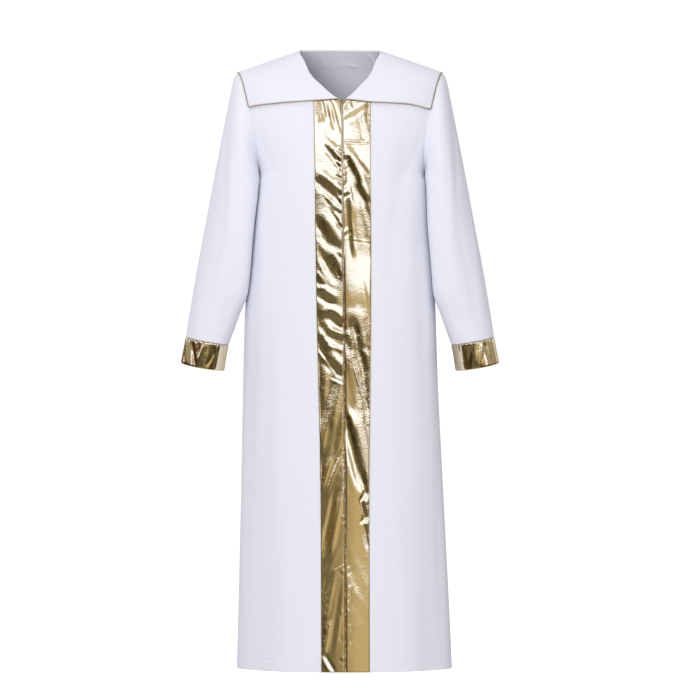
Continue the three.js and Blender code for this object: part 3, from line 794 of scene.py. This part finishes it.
# Rings down a sleeve: the places of its inner and outer side, its half depth, how far it leans
# to the back and its inner side goes ahead of that (-), how much of the armhole's scoop it keeps,
# and how far its front dips.
RING = "in_x in_z out_x out_z deep lean ahead bow dip"
SLEEVE = rows_of(
    RING,
    (183.8, -284, 223.8, -51, 69, 0, 0, 1, 0),
    (184.3, -288, 230, -56, 70, 0, -5, 0.75, 0),
    (185.2, -294, 235.5, -71, 71, -1, -12, 0.45, 0),
    (186, -303, 241, -97, 72, -2, -20, 0.2, 0),
    (186.5, -317, 248, -133, 72, -3, -27, 0.05, 0),
    (187.2, -335, 256.5, -177, 71, -5, -31, 0, 0),
    (189.4, -362, 267, -231, 69, -7, -34, 0, 0),
    (192.4, -400, 279.5, -297, 66, -10, -35, 0, 0),
    (196, -445, 293, -371, 63, -13, -34, 0, 0),
    (199.5, -495, 306.5, -442, 60, -16, -32, 0, 0),
    (203.5, -540, 318, -506, 57, -19, -28, 0, 1),
    (217, -576, 326, -554, 54, -21, -21, 0, 2),
    (230.5, -612, 332.5, -594, 51, -23, -14, 0, 3),
    (244, -648, 338, -631, 48, -25, -8, 0, 3),
)
# Creases of a sleeve, at a distance round from its outer side (+ towards the front) and a height.
SLEEVE_CREASES = {
    "right": rows_of(
        CREASE,
        (62, -240, 10, 90, 11, -1.5),
        (110, -360, 6, 130, 13, 1.8),
        (80, -470, -4, 120, 12, -1.5),
        (118, -570, -16, 70, 10, -1.8),
        (45, -560, 6, 90, 12, 1.3),
        (-70, -420, 8, 160, 14, -2),
        (-110, -500, -6, 120, 12, 1.6),
    ),
    "left": rows_of(
        CREASE,
        (58, -230, 12, 90, 12, -1.7),
        (104, -340, 5, 140, 13, 1.6),
        (74, -500, -6, 110, 12, -1.8),
        (120, -560, -18, 80, 10, -2),
        (36, -440, 4, 130, 12, 1.5),
        (-66, -400, 10, 160, 14, -2),
        (-108, -520, -8, 110, 12, 1.6),
    ),
}


def rings(table, side, places, turns):
    """Points of a sleeve or cuff at places down its table and turns round it, in degrees."""
    last = len(table) - 1
    i = np.clip(np.floor(places).astype(int), 0, last - 1)
    t = places - i

    def value(column):
        values = np.array([row[column] for row in table], float)
        a, b = values[i], values[i + 1]
        before = np.where(i > 0, values[np.maximum(i - 1, 0)], 2 * a - b)
        after = np.where(i + 1 < last, values[np.minimum(i + 2, last)], 2 * b - a)
        bent = (b - before) * (t - 2 * t**2 + t**3) + (after - a) * (t**3 - t**2)
        return (a * (1 - 3 * t**2 + 2 * t**3) + b * (3 * t**2 - 2 * t**3) + bent / 2)[:, None]

    round_ = np.sin(np.radians(turns))[None, :]
    rise = (1 + np.cos(np.radians(turns)))[None, :] / 2
    scoop = np.where(round_ > 0, ARMHOLE["scoop_front"], ARMHOLE["scoop_back"])
    x = lerp(value("in_x"), value("out_x"), rise) - value("bow") * scoop * np.abs(round_)
    y = value("lean") - value("deep") * round_ + value("ahead") * (1 - rise)
    z = lerp(value("in_z"), value("out_z"), rise) - value("dip") * round_
    return point(side * x, y, z)


def off_outer(tube, turns):
    """Distances round a tube from its outer side, + towards the front."""
    girth = run_length(ringed(tube), 1)
    return np.where(turns <= 180, girth[:, :-1], girth[:, :-1] - girth[:, -1:])


SLEEVE_TURNS = np.arange(0, 360, 3.0)
LAST_RING = len(SLEEVE) - 1
SLEEVE_PLACES = steps_to(0, (5, 25), (LAST_RING, 96))
for side, word in ((-1, "right"), (1, "left")):
    tube = rings(SLEEVE, side, SLEEVE_PLACES, SLEEVE_TURNS)
    normal = facing_out(tube, side, closed=True)
    fold = creases(SLEEVE_CREASES[word], off_outer(tube, SLEEVE_TURNS), tube[..., 2])
    inner = smooth(np.abs(SLEEVE_TURNS - 180) / SLEEVE_FADE["seam"])
    to_end = LAST_RING - SLEEVE_PLACES
    ends = smooth(SLEEVE_PLACES / SLEEVE_FADE["top"]) * smooth(to_end / SLEEVE_FADE["end"])
    hung = smooth((SLEEVE_PLACES - FULL["top"]) / FULL["in"])
    hung = hung * smooth((FULL["end"] - SLEEVE_PLACES) / FULL["out"])
    full = FULL["deep"] * hung[:, None] * swell(SLEEVE_TURNS - FULL["turn"], FULL["spread"])[None, :]
    tube = tube + normal * (fold * ends[:, None] * inner[None, :] + full)[..., None]
    drawn = SEAM_DRAW["in"] * (1 - smooth(SLEEVE_PLACES / SEAM_DRAW["places"]))
    tube[..., 0] -= side * drawn[:, None]
    # Below the armpit it stays clear of the body beside it.
    half, deep, _, power, _ = section(-1, tube[..., 2])
    ahead = (np.abs(np.minimum(tube[..., 1], 0)) / deep) ** power
    body = half * np.clip(1 - ahead, 0, 1) ** (1 / power)
    apart = np.maximum(side * tube[..., 0], body + FULL["clear"])
    held = (SLEEVE_PLACES[:, None] > 1) & (tube[..., 2] < ARMPIT["z"])
    tube[..., 0] = np.where(held, side * apart, tube[..., 0])
    sleeve = cloth(f"sleeve_{word}_cloth", settled(tube), side, CLOTH, white_cloth, closed=True)
    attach(sleeve, "root")
    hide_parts(f"sleeve_{word}")


# ---- Gold bands: strips of foil knit sewn down each front beside the opening ----
# The foil is bonded to a thin knit, so it crumples in sharp diagonal creases and mirrors its
# surroundings. Its outer edge is turned under and its inner edge wraps the front edge.
FOIL = {"rise": 1.7, "wall": 0.6, "most": 3, "edge": 3}
# How deep each edge is turned under, and how wide the turn is.
TURNED = {"inner": (1.1, 1.6), "outer": (0.9, 1.2)}
GOLD = (0.94, 0.81, 0.56)
# Grain, wrinkles and wear of the foil, in lumps to a metre, its brightest and dullest roughness,
# and how strong and deep (in metres) its bump is. The patches of wear also place the glints
# painted into the gold cord's colour.
GRAIN = {"grain": 330, "wrinkle": 90, "bent": 0.8, "wear_and_glints": 40}
SHINE = {"rough": (0.04, 0.1), "bump": 0.6, "deep": 0.001}
# Facets of a band, at a distance from the front edge and a height: how far each leans out going
# down (degrees), half length, half width and how far it tips down, or up (-), in degrees.
FACET = "a z lean long wide tip"
FACETS = {
    "right": rows_of(
        FACET,
        (7, -150, -16, 36, 5, 15),
        (21, -144, -14, 32, 5.6, 17),
        (36, -134, -5, 26, 6, 17),
        (52, -136, 3, 28, 6, 16),
        (30, -205, -24, 26, 6, -4),
        (17, -236, -34, 28, 9, 15),
        (31, -303, -50, 36, 12.5, 15),
        (22, -348, -38, 32, 4.5, 9),
        (14, -372, -32, 26, 4.2, 11),
        (33, -404, -32, 40, 15, 14),
        (54, -398, -30, 16, 5, -8),
        (18, -478, -29, 36, 14, 14),
        (46, -470, -22, 34, 7, -8),
        (54, -505, -36, 16, 7, 13),
        (37, -543, -55, 22, 11, 13),
        (18, -590, -54, 24, 12.5, 13),
        (44, -596, -20, 24, 11, 7),
        (16, -629, -72, 22, 9, 12),
        (14, -652, -70, 18, 6, -10),
        (44, -648, -30, 30, 10, 8),
        (38, -684, -36, 34, 3.4, -10),
        (20, -694, -50, 30, 12, 9),
        (30, -760, 4, 90, 60, -2.5),
        (50, -726, 4, 50, 9, -8),
        (14, -728, -66, 18, 3.4, -10),
        (26, -770, 12, 50, 11, -11),
        (48, -820, 10, 60, 9, -10),
        (14, -850, 10, 50, 6, -3),
        (26, -925, 22, 50, 5, -7),
        (47, -930, 14, 40, 8, -9),
        (30, -980, 4, 90, 60, -2),
        (27, -1035, 11, 64, 9, -13),
        (50, -1080, 6, 40, 6, 5),
        (14, -1130, 60, 16, 3.4, -3.5),
        (34, -1120, 24, 34, 7, -3),
        (42, -1205, 12, 60, 8, -7),
        (16, -1240, 8, 70, 6, -4),
        (48, -1288, 10, 46, 8, -11),
        (38, -1338, -30, 20, 5.5, -14),
    ),
    "left": rows_of(
        FACET,
        (7, -122, -24, 12, 3, 17),
        (17, -122, 22, 12, 3.4, -18),
        (29, -143, -58, 30, 6, -8),
        (51, -140, -8, 28, 5.5, 16),
        (46, -176, 8, 30, 7, 12),
        (30, -209, 88, 40, 2.6, 15),
        (20, -258, 34, 34, 12, 19),
        (34, -300, 20, 36, 14, 22),
        (45, -322, 30, 20, 8, 17),
        (53, -284, 34, 16, 5, 16),
        (12, -350, 3, 56, 6, 10),
        (17, -418, 4, 34, 6, 13),
        (32, -372, 8, 50, 7, -6),
        (52, -352, 16, 18, 6, 14),
        (50, -404, 6, 22, 6, 12),
        (38, -424, 82, 24, 2.6, 8),
        (27, -486, 88, 60, 96, -2.2),
        (51, -556, 6, 40, 4, 7),
        (20, -600, 76, 22, 16, 9),
        (9, -634, 20, 30, 10, 12),
        (34, -640, 12, 56, 11, 21),
        (50, -664, 60, 14, 7, -13),
        (11, -716, 14, 60, 9, 2.4),
        (51, -742, 5, 66, 9, 17),
        (35, -742, 16, 54, 3, -17),
        (9, -816, 12, 20, 8, 12),
        (26, -800, 18, 50, 9, 2.2),
        (28, -878, 14, 74, 15, 17),
        (48, -846, 12, 46, 4, -12),
        (8, -920, 12, 56, 8, 1.8),
        (46, -950, 14, 30, 8, 14),
        (46, -978, -30, 13, 7, -16),
        (42, -1004, 12, 24, 6, 15),
        (47, -1028, -36, 12, 7, -15),
        (49, -1062, 10, 26, 6, 14),
        (22, -1000, 88, 60, 120, 0.8),
        (18, -1130, 24, 70, 10, 0.8),
        (32, -1216, 34, 50, 10, 0.7),
        (20, -1296, -26, 50, 9, 0.7),
    ),
}
# Puckers where the zip is sewn in behind the front edge, deep ones above and faint ones below.
PUCKERS = {
    "right": {
        "deep": [-226, -246, -258, -272, -283, -298, -318, -337, -358, -390, -455, -492],
        "faint": [-1026, -1142, -1230, -1284, -1330],
    },
    "left": {
        "deep": [-243, -265, -277, -296, -322, -405],
        "faint": [-816, -1138, -1180, -1212, -1262, -1301],
    },
}
# One after another they sit further in, by turns of three, and lean less, by turns of four.
PUCKER = {"a": 4.5, "further": 1.7, "lean": -56, "less": 11, "long": 8, "wide": 4.6}
PUCKER_TIPS = {"deep": 17, "faint": 3}
# Where the foil is crumpled all over: the middle, half width, half length and share. Elsewhere
# it is crumpled a little.
CRUMPLED = {
    "right": rows_of(
        "a z wide long much",
        (30, -120, 60, 50, 0.3),
        (26, -400, 60, 190, 0.7),
        (30, -690, 60, 150, 0.5),
        (30, -870, 60, 110, 0.25),
        (50, -1250, 22, 130, 0.35),
    ),
    "left": rows_of(
        "a z wide long much",
        (20, -120, 60, 40, 0.4),
        (50, -190, 26, 60, 0.9),
        (26, -290, 50, 80, 0.6),
        (50, -370, 22, 70, 0.9),
        (30, -640, 50, 62, 1),
        (46, -790, 22, 130, 1),
        (54, -980, 15, 110, 1),
        (34, -890, 12, 60, 0.8),
    ),
}
LEAST_CRUMPLED = 0.05
# The crumples are soft lumps of two sizes, on a field that is a little larger than a band.
LUMPS = rows_of("size deep seed", (11, 0.26, 3), (5, 0.13, 8))
LUMPY_FIELD = {"long": 1500, "wide": 90}
# Lower down, the inner edges of the bands are ragged and nearly close the gap between them.
RAGGED = {"by": 0.32, "size": 5, "wide": 2.5, "from": -330, "full": -620}
RAGGED_SEED = {"right": 21, "left": 34}


def facets(table, a, z):
    """How far a table of facets moves the foil out, over distances a and heights z."""
    total = np.zeros_like(a)
    for row in table:
        off, on = off_and_on(row, a, z)
        slope = np.tan(np.radians(row["tip"])) * (-1 if row["lean"] < 0 else 1)
        across = np.exp(-0.5 * np.abs(off / row["wide"]) ** 3)
        total += slope * off * across * swell(on, row["long"], 4)
    return total


def puckers(table):
    """The puckers beside one front edge, as facets."""
    made = []
    for kind, heights in table.items():
        for i, z in enumerate(heights):
            a = PUCKER["a"] + PUCKER["further"] * (i % 3)
            lean = PUCKER["lean"] + PUCKER["less"] * (i % 4)
            made.append({**PUCKER, "a": a, "z": z, "lean": lean, "tip": PUCKER_TIPS[kind]})
    return made


def lumps(a, z, size, seed):
    """Seeded noise from -1 to 1 over distances a and heights z, in lumps of a size."""
    shape = int(LUMPY_FIELD["long"] / size), int(LUMPY_FIELD["wide"] / size) + 3
    field = np.random.default_rng(seed).uniform(-1, 1, shape)
    u, v = -z / size, a / size
    i, j = np.floor(u).astype(int), np.floor(v).astype(int)
    s, t = smooth(u - i), smooth(v - j)
    upper = lerp(field[i, j], field[i, j + 1], t)
    return lerp(upper, lerp(field[i + 1, j], field[i + 1, j + 1], t), s)


def crumpled(table, a, z):
    """How crumpled the foil is, from 0 to 1, over distances a and heights z."""
    share = np.full_like(a, LEAST_CRUMPLED)
    for row in table:
        near = swell(a - row["a"], row["wide"], 4) * swell(z - row["z"], row["long"], 4)
        share = np.maximum(share, row["much"] * near)
    return share


# Crumple: fine grain where the foil is crumpled, broad wrinkles, and patches of wear, which
# also place the painted glints in the gold cord's colour.
crumple, crumple_in, crumple_out, lay = group_of(
    "foil_crumple", {"Grain": 1, "Wrinkle": 1, "Even": 0}, ["Height", "Wear and glints"]
)
grain = noise(crumple, lay, GRAIN["grain"], detail=1)
wrinkle = noise(crumple, lay, GRAIN["wrinkle"], detail=3, distortion=GRAIN["bent"])
mark = crumple.nodes.new("ShaderNodeAttribute")
mark.attribute_name = "crumpled"
share = maths(crumple, "MAXIMUM", mark.outputs["Fac"], crumple_in.outputs["Even"])
fine = maths(crumple, "MULTIPLY", maths(crumple, "MULTIPLY", grain, crumple_in.outputs["Grain"]), share)
broad = maths(crumple, "MULTIPLY", wrinkle, crumple_in.outputs["Wrinkle"])
crumple.links.new(maths(crumple, "ADD", fine, broad), crumple_out.inputs["Height"])
crumple.links.new(noise(crumple, lay, GRAIN["wear_and_glints"]), crumple_out.inputs["Wear and glints"])


def foil_knit(name, grain, wrinkle, even):
    """Metallic foil bonded to a knit, grainy where it is crumpled, and with soft wrinkles."""
    values = {"Grain": grain, "Wrinkle": wrinkle, "Even": even}
    made, tree, shader, form = fabric_of(name, crumple, values, SHINE["bump"], SHINE["deep"])
    shader.inputs["Base Color"].default_value = (*GOLD, 1)
    shader.inputs["Metallic"].default_value = 1
    rough = mapped(tree, form.outputs["Wear and glints"], (0, 1), SHINE["rough"])
    tree.links.new(rough, shader.inputs["Roughness"])
    return made


gold_foil = foil_knit("gold_foil", grain=0.8, wrinkle=0.09, even=0)
BAND_ROWS = steps_to(0, (ARMPIT_ROW, 559), (COLLAR_ROW + 1, 109))
BAND_LINES = steps_to(0, (BAND_COLS, 42))
for side, word in ((-1, "right"), (1, "left")):
    strip = front_surface(side, BAND_LINES[None, :], BAND_ROWS[:, None])
    off_edge = run_length(strip, 1)
    to_outer = off_edge[:, -1:] - off_edge
    z = strip[..., 2]
    share = crumpled(CRUMPLED[word], off_edge, z)
    lumpy = sum(row["deep"] * lumps(off_edge, z, row["size"], row["seed"]) for row in LUMPS)
    fold = facets(FACETS[word] + puckers(PUCKERS[word]), off_edge, z) + share * lumpy
    fold = FOIL["most"] * np.tanh(fold / FOIL["most"])
    fold = fold * smooth(off_edge / FOIL["edge"]) * smooth(to_outer / FOIL["edge"])
    for off, (deep, wide) in ((off_edge, TURNED["inner"]), (to_outer, TURNED["outer"])):
        fold = fold - deep * swell(off, wide)
    foil = settled(strip + facing_out(strip, side) * (FOIL["rise"] + fold)[..., None])
    ragged = 1 + lumps(off_edge, z, RAGGED["size"], RAGGED_SEED[word])
    reach = smooth((RAGGED["from"] - z) / (RAGGED["from"] - RAGGED["full"]))
    foil[..., 0] -= side * RAGGED["by"] * ragged * reach * swell(off_edge, RAGGED["wide"])
    band = cloth(f"gold_band_{word}_foil", foil, side, FOIL["wall"], gold_foil)
    mark = band.data.attributes.new("crumpled", "FLOAT", "POINT")
    mark.data.foreach_set("value", share.reshape(-1))
    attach(band, "root")
    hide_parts(f"gold_band_{word}")


# ---- Gold cuffs: two layers of foil knit sewn round the end of each sleeve ----
# The sleeve is eased into the cuff, so the foil puckers below the seam.
CUFF = rows_of(
    RING,
    (244.1, -648.4, 338.1, -631.4, 48, -25, -8, 0, 3),
    (249, -676, 343.5, -659, 47.5, -26, -5, 0, 4),
    (253.5, -704, 349, -687, 47, -27, -2, 0, 5),
)
# The thickness of two layers.
DOUBLE = 2
CUFF_CREASES = {
    "right": rows_of(
        CREASE,
        (52, -672, 18, 30, 5, -1.4),
        (70, -668, -12, 26, 5, 1.2),
        (95, -672, -22, 26, 5, -1.2),
        (30, -662, 10, 26, 5, 1.1),
    ),
    "left": rows_of(
        CREASE,
        (46, -668, -20, 28, 5, -1.4),
        (66, -672, 14, 26, 5, 1.2),
        (90, -672, 20, 26, 5, -1.2),
        (24, -660, -8, 26, 5, 1.1),
    ),
}
# The eased puckers: how many go round, how deep, how uneven, and where they have faded.
GATHERS = {"count": 26, "deep": 0.7, "uneven": 2, "waves": 3, "fade": 0.45}
# How deep the top and lower edge are turned, and over what share of a ring.
CUFF_EDGES = {"top": (0.9, 0.05), "end": (0.7, 0.06)}
CUFF_FADE = 0.4
CUFF_TURNS = np.arange(0, 360, 2.0)
CUFF_PLACES = steps_to(0, (len(CUFF) - 1, 39))
cuff_foil = foil_knit("cuff_foil", grain=0.4, wrinkle=0.5, even=0.4)
for side, word in ((-1, "right"), (1, "left")):
    tube = rings(CUFF, side, CUFF_PLACES, CUFF_TURNS)
    fold = creases(CUFF_CREASES[word], off_outer(tube, CUFF_TURNS), tube[..., 2])
    fold = fold * smooth(CUFF_PLACES / CUFF_FADE)[:, None]
    turn = np.radians(CUFF_TURNS)[None, :]
    uneven = GATHERS["uneven"] * np.sin(GATHERS["waves"] * turn + side)
    gather = GATHERS["deep"] * np.sin(GATHERS["count"] * turn + uneven)
    fold = fold + gather * np.exp(-CUFF_PLACES / GATHERS["fade"])[:, None]
    to_end = len(CUFF) - 1 - CUFF_PLACES
    for off, (deep, wide) in ((CUFF_PLACES, CUFF_EDGES["top"]), (to_end, CUFF_EDGES["end"])):
        fold = fold - (deep * swell(off, wide))[:, None]
    tube = tube + facing_out(tube, side, closed=True) * fold[..., None]
    cuff = cloth(f"gold_cuff_{word}_foil", tube, side, DOUBLE, cuff_foil, closed=True)
    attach(cuff, "root")
    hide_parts(f"gold_cuff_{word}")


# ---- Cape collar: two layers of the white cloth, sewn into the neckline ----
# It lies over the shoulders to a square corner at each armhole, in two fronts and a back that
# meet at the shoulder seams.
# How far the collar lies over the cloth, row by row from its lower edge to the neckline.
FRONT_RISE = [1.9, 1.8, 1.2, 0.6, 0.4, 0.4, 0.4]
BACK_RISE = [1.4, 1, 0.6, 0.4, 0.4, 0.4, 0.4]
COLLAR_ROWS = steps_to(COLLAR_ROW, (TOP_ROW, 60))
FLAP_COLS = steps_to(0, (COLS, 119))
CAPE_COLS = steps_to(0, (COLS, 89))
# Its lower edges are cut back beside the point of the V, and the left one hangs a little lower
# than the right one: rows cut off at these columns.
CUT_COLS = [0, 1.5, 3, 6, 9, 11]
CUT_ROWS = {
    "right": [0.02, 0, 0, 0, 0.06, 0.1],
    "left": [0, -0.04, -0.08, -0.03, -0.12, -0.04],
}


def raised(points, out, rises):
    """A grid of the collar's rows, moved out to the collar's outer face."""
    lift = np.interp(COLLAR_ROWS - COLLAR_ROW, np.arange(len(rises)), rises) + DOUBLE
    return points + facing_out(points, out) * lift[:, None, None]


flaps = {}
for side, word in ((-1, "right"), (1, "left")):
    cut = np.interp(FLAP_COLS, CUT_COLS, CUT_ROWS[word])
    down = (TOP_ROW - COLLAR_ROWS) / (TOP_ROW - COLLAR_ROW)
    cut_rows = COLLAR_ROWS[:, None] + cut[None, :] * down[:, None]
    flap = settled(raised(front_surface(side, FLAP_COLS[None, :], cut_rows), side, FRONT_RISE))
    flap[-1, :, 1] = -SEAM / 2
    flaps[word] = flap
    collar = cloth(f"collar_front_{word}_cloth", flap, side, DOUBLE, white_cloth)
    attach(collar, "root")
    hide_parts(f"collar_front_{word}")
cape = raised(whole_back(CAPE_COLS, COLLAR_ROWS), -1, BACK_RISE)
collar_back = cloth("collar_back_cloth", cape, -1, DOUBLE, white_cloth)
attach(collar_back, "root")
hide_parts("collar_back")


# ---- Piping: a gold cord caught in the collar's outer edge ----
# Two twisted strands, running from one side of the V round the back to the other.
PIPING = {"radius": 1.15, "away": 1.55, "lift": 0.2, "wall": 0.3, "sides": 12, "step": 1.1}
TWIST = {"pitch": 4.5, "deep": 0.14}
CORD = {"color": (0.56, 0.43, 0.26), "shade": 0.6, "metal": 0.35, "rough": 0.5}
CORD_BUMP = {"bump": 0.4, "deep": 0.0003}
# The way that the cord runs is evened over so many steps.
EVENED = 5


def dull_cord(name, color, shade, metal, rough):
    """Twisted metallic thread, with glints painted into its colour in patches: shade is how dark the parts
    between the painted glints are.
    """
    values = {"Grain": 1, "Wrinkle": 0, "Even": 1}
    made, tree, shader, form = fabric_of(name, crumple, values, **CORD_BUMP)
    # Painted highlights: the cord's colour is lighter in random patches, standing in for glints.
    two_tones(tree, shader, form.outputs["Wear and glints"], [c * shade for c in color], color)
    shader.inputs["Metallic"].default_value = metal
    shader.inputs["Roughness"].default_value = rough
    return made


def round_collar(right, cape, left):
    """The collar's outer edge, from the right of the V round the back to the left."""
    return np.concatenate([
        right[0], right[1:, -1], cape[-2::-1, 0], cape[0, 1:], cape[1:-1, -1], left[::-1, -1],
        left[0, -2::-1],
    ])


def paced(line, first, step, *carried):
    """Even steps along a line: how far each is from its start, then each carried line there."""
    gone = np.concatenate([[0], np.cumsum(np.linalg.norm(np.diff(line, axis=0), axis=1))])
    stops = np.arange(first, gone[-1], step)
    made = [[np.interp(stops, gone, one[:, k]) for k in range(3)] for one in (line, *carried)]
    return stops, *(np.stack(one, axis=1) for one in made)


def unit(vectors):
    """Vectors of length 1, pointing the same ways."""
    return vectors / np.linalg.norm(vectors, axis=1, keepdims=True)


gold_cord = dull_cord("gold_cord", **CORD)
route = round_collar(flaps["right"], cape, flaps["left"])
upward = round_collar(
    facing_out(flaps["right"], -1), facing_out(cape, -1), facing_out(flaps["left"], 1)
)
stops, line, upward = paced(route, 0, PIPING["step"], upward)
run = np.gradient(line, axis=0)
evenly = np.ones(EVENED) / EVENED
run = unit(np.stack([np.convolve(run[:, k], evenly, "same") for k in range(3)], axis=1))
away = unit(np.cross(upward, run))
above = np.cross(run, away)
middle = line + away * PIPING["away"] + above * PIPING["lift"]
turn = np.linspace(0, 2 * np.pi, PIPING["sides"], endpoint=False)[None, :]
strand = 1 + TWIST["deep"] * np.cos(2 * (turn - 2 * np.pi * stops[:, None] / TWIST["pitch"]))
radius = PIPING["radius"] * strand / (1 + TWIST["deep"])
cord_grid = (
    middle[:, None]
    + away[:, None] * (np.cos(turn) * radius)[..., None]
    + above[:, None] * (np.sin(turn) * radius)[..., None]
)
piping = cloth("collar_piping_cord", cord_grid, 1, PIPING["wall"], gold_cord, closed=True)
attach(piping, "root")
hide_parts("collar_piping")


# ---- Back neck facing: a strip of the white cloth inside the back neckline ----
# It is sewn in with the collar and hangs loose below, so it wrinkles a little. Its lower edge is
# tucked up against the back.
FACING = {"rows": 2, "gap": 0.05, "wall": 0.4, "tuck": 0.6}
# Rows over which the wrinkles die out at the neckline and the lower edge, and the tuck ends.
FACING_FADE = {"neck": 0.6, "edge": 0.5, "tuck": 0.4}
FACING_CREASES = rows_of(
    CREASE,
    (70, -22, 28, 20, 4, -1.2),
    (140, -32, 70, 14, 4, -2),
    (186, -18, 18, 20, 4.5, -2.4),
    (214, -12, -28, 16, 4, -2),
)
facing_rows = steps_to(TOP_ROW - FACING["rows"], (TOP_ROW, 29))
strip = whole_back(steps_to(0, (NECK_COLS, 49)), facing_rows)
fold = creases(FACING_CREASES, run_length(strip, 1), strip[..., 2])
down = TOP_ROW - facing_rows
up_from_edge = FACING["rows"] - down
loose = smooth(down / FACING_FADE["neck"]) * smooth(up_from_edge / FACING_FADE["edge"])
tucked = FACING["tuck"] * (1 - smooth(up_from_edge / FACING_FADE["tuck"]))
rise = fold * loose[:, None] + tucked[:, None] - CLOTH - FACING["gap"]
strip = strip + facing_out(strip, -1) * rise[..., None]
facing = cloth("back_neck_facing_cloth", strip, -1, FACING["wall"], white_cloth)
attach(facing, "root")
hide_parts("back_neck_facing")


# ---- Concealed zip: its tape spans the opening behind the front edges ----
# A woven tape, its colour darkened to paint the shade in the slit between the front edges, with
# a row of small teeth down its middle that stand by turns a little to the right and to the left.
ZIP = {"first_row": 4, "share": 0.6, "sink": 0.4, "wall": 1.2}
TEETH = {"pitch": 2.6, "wide": 2.4, "high": 1.3, "deep": 0.8, "sunk": 0.05, "off": 0.7}
# Painted shade: the tape and teeth are coloured dark to stand in for the shade in the slit.
PAINTED_SHADE_TAPE = {"color": (0.27, 0.24, 0.2), "shade": (0.22, 0.2, 0.17), "rough": 0.7}
zip_tape = plain_cloth("zip_tape", **PAINTED_SHADE_TAPE)
zip_rows = steps_to(ZIP["first_row"], (COLLAR_ROW, 199))
tape_cols = steps_to(ZIP["share"], (0, 9))
halves = [front_surface(side, tape_cols[None, :], zip_rows[:, None]) for side in (-1, 1)]
tape_grid = np.concatenate([halves[0], halves[1][:, ::-1]], axis=1)
lowered = UNDER_BAND["deep"] * smooth(np.append(tape_cols, tape_cols[::-1]) / UNDER_BAND["edge"])
tape_out = facing_out(tape_grid, 1)
tape_grid = tape_grid - tape_out * (CLOTH + ZIP["sink"] + lowered)[None, :, None]
zip_piece = cloth("front_zip_tape", tape_grid, 1, ZIP["wall"], zip_tape)

middle = tape_grid.shape[1] // 2
tooth_line = tape_grid[:, middle - 1:middle + 1].mean(axis=1)
stops, seats, out = paced(tooth_line, TEETH["pitch"], TEETH["pitch"], tape_out[:, middle])
seats[:, 0] += TEETH["off"] * (-1.0) ** np.arange(len(stops))
# A tooth is a block: its corners across, out and up, and its faces.
BLOCK = np.array([(x, y, z) for x in (-1, 1) for y in (0, 1) for z in (-1, 1)])
BLOCK_FACES = np.array([
    (2, 3, 1, 0), (5, 7, 6, 4), (1, 5, 4, 0), (6, 7, 3, 2), (4, 6, 2, 0), (3, 7, 5, 1)
])
block = BLOCK * (TEETH["wide"] / 2, 0, TEETH["high"] / 2)
raised_by = TEETH["deep"] * (BLOCK[:, 1] - TEETH["sunk"])
corners = seats[:, None] + block + out[:, None] * raised_by[None, :, None]
faces = BLOCK_FACES[None] + len(BLOCK) * np.arange(len(stops))[:, None, None]
teeth = new_piece("front_zip_teeth", corners, faces.reshape(-1, 4), zip_tape)
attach(teeth, "root")
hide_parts("front_zip")
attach(zip_piece, "root")
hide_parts("front_zip")
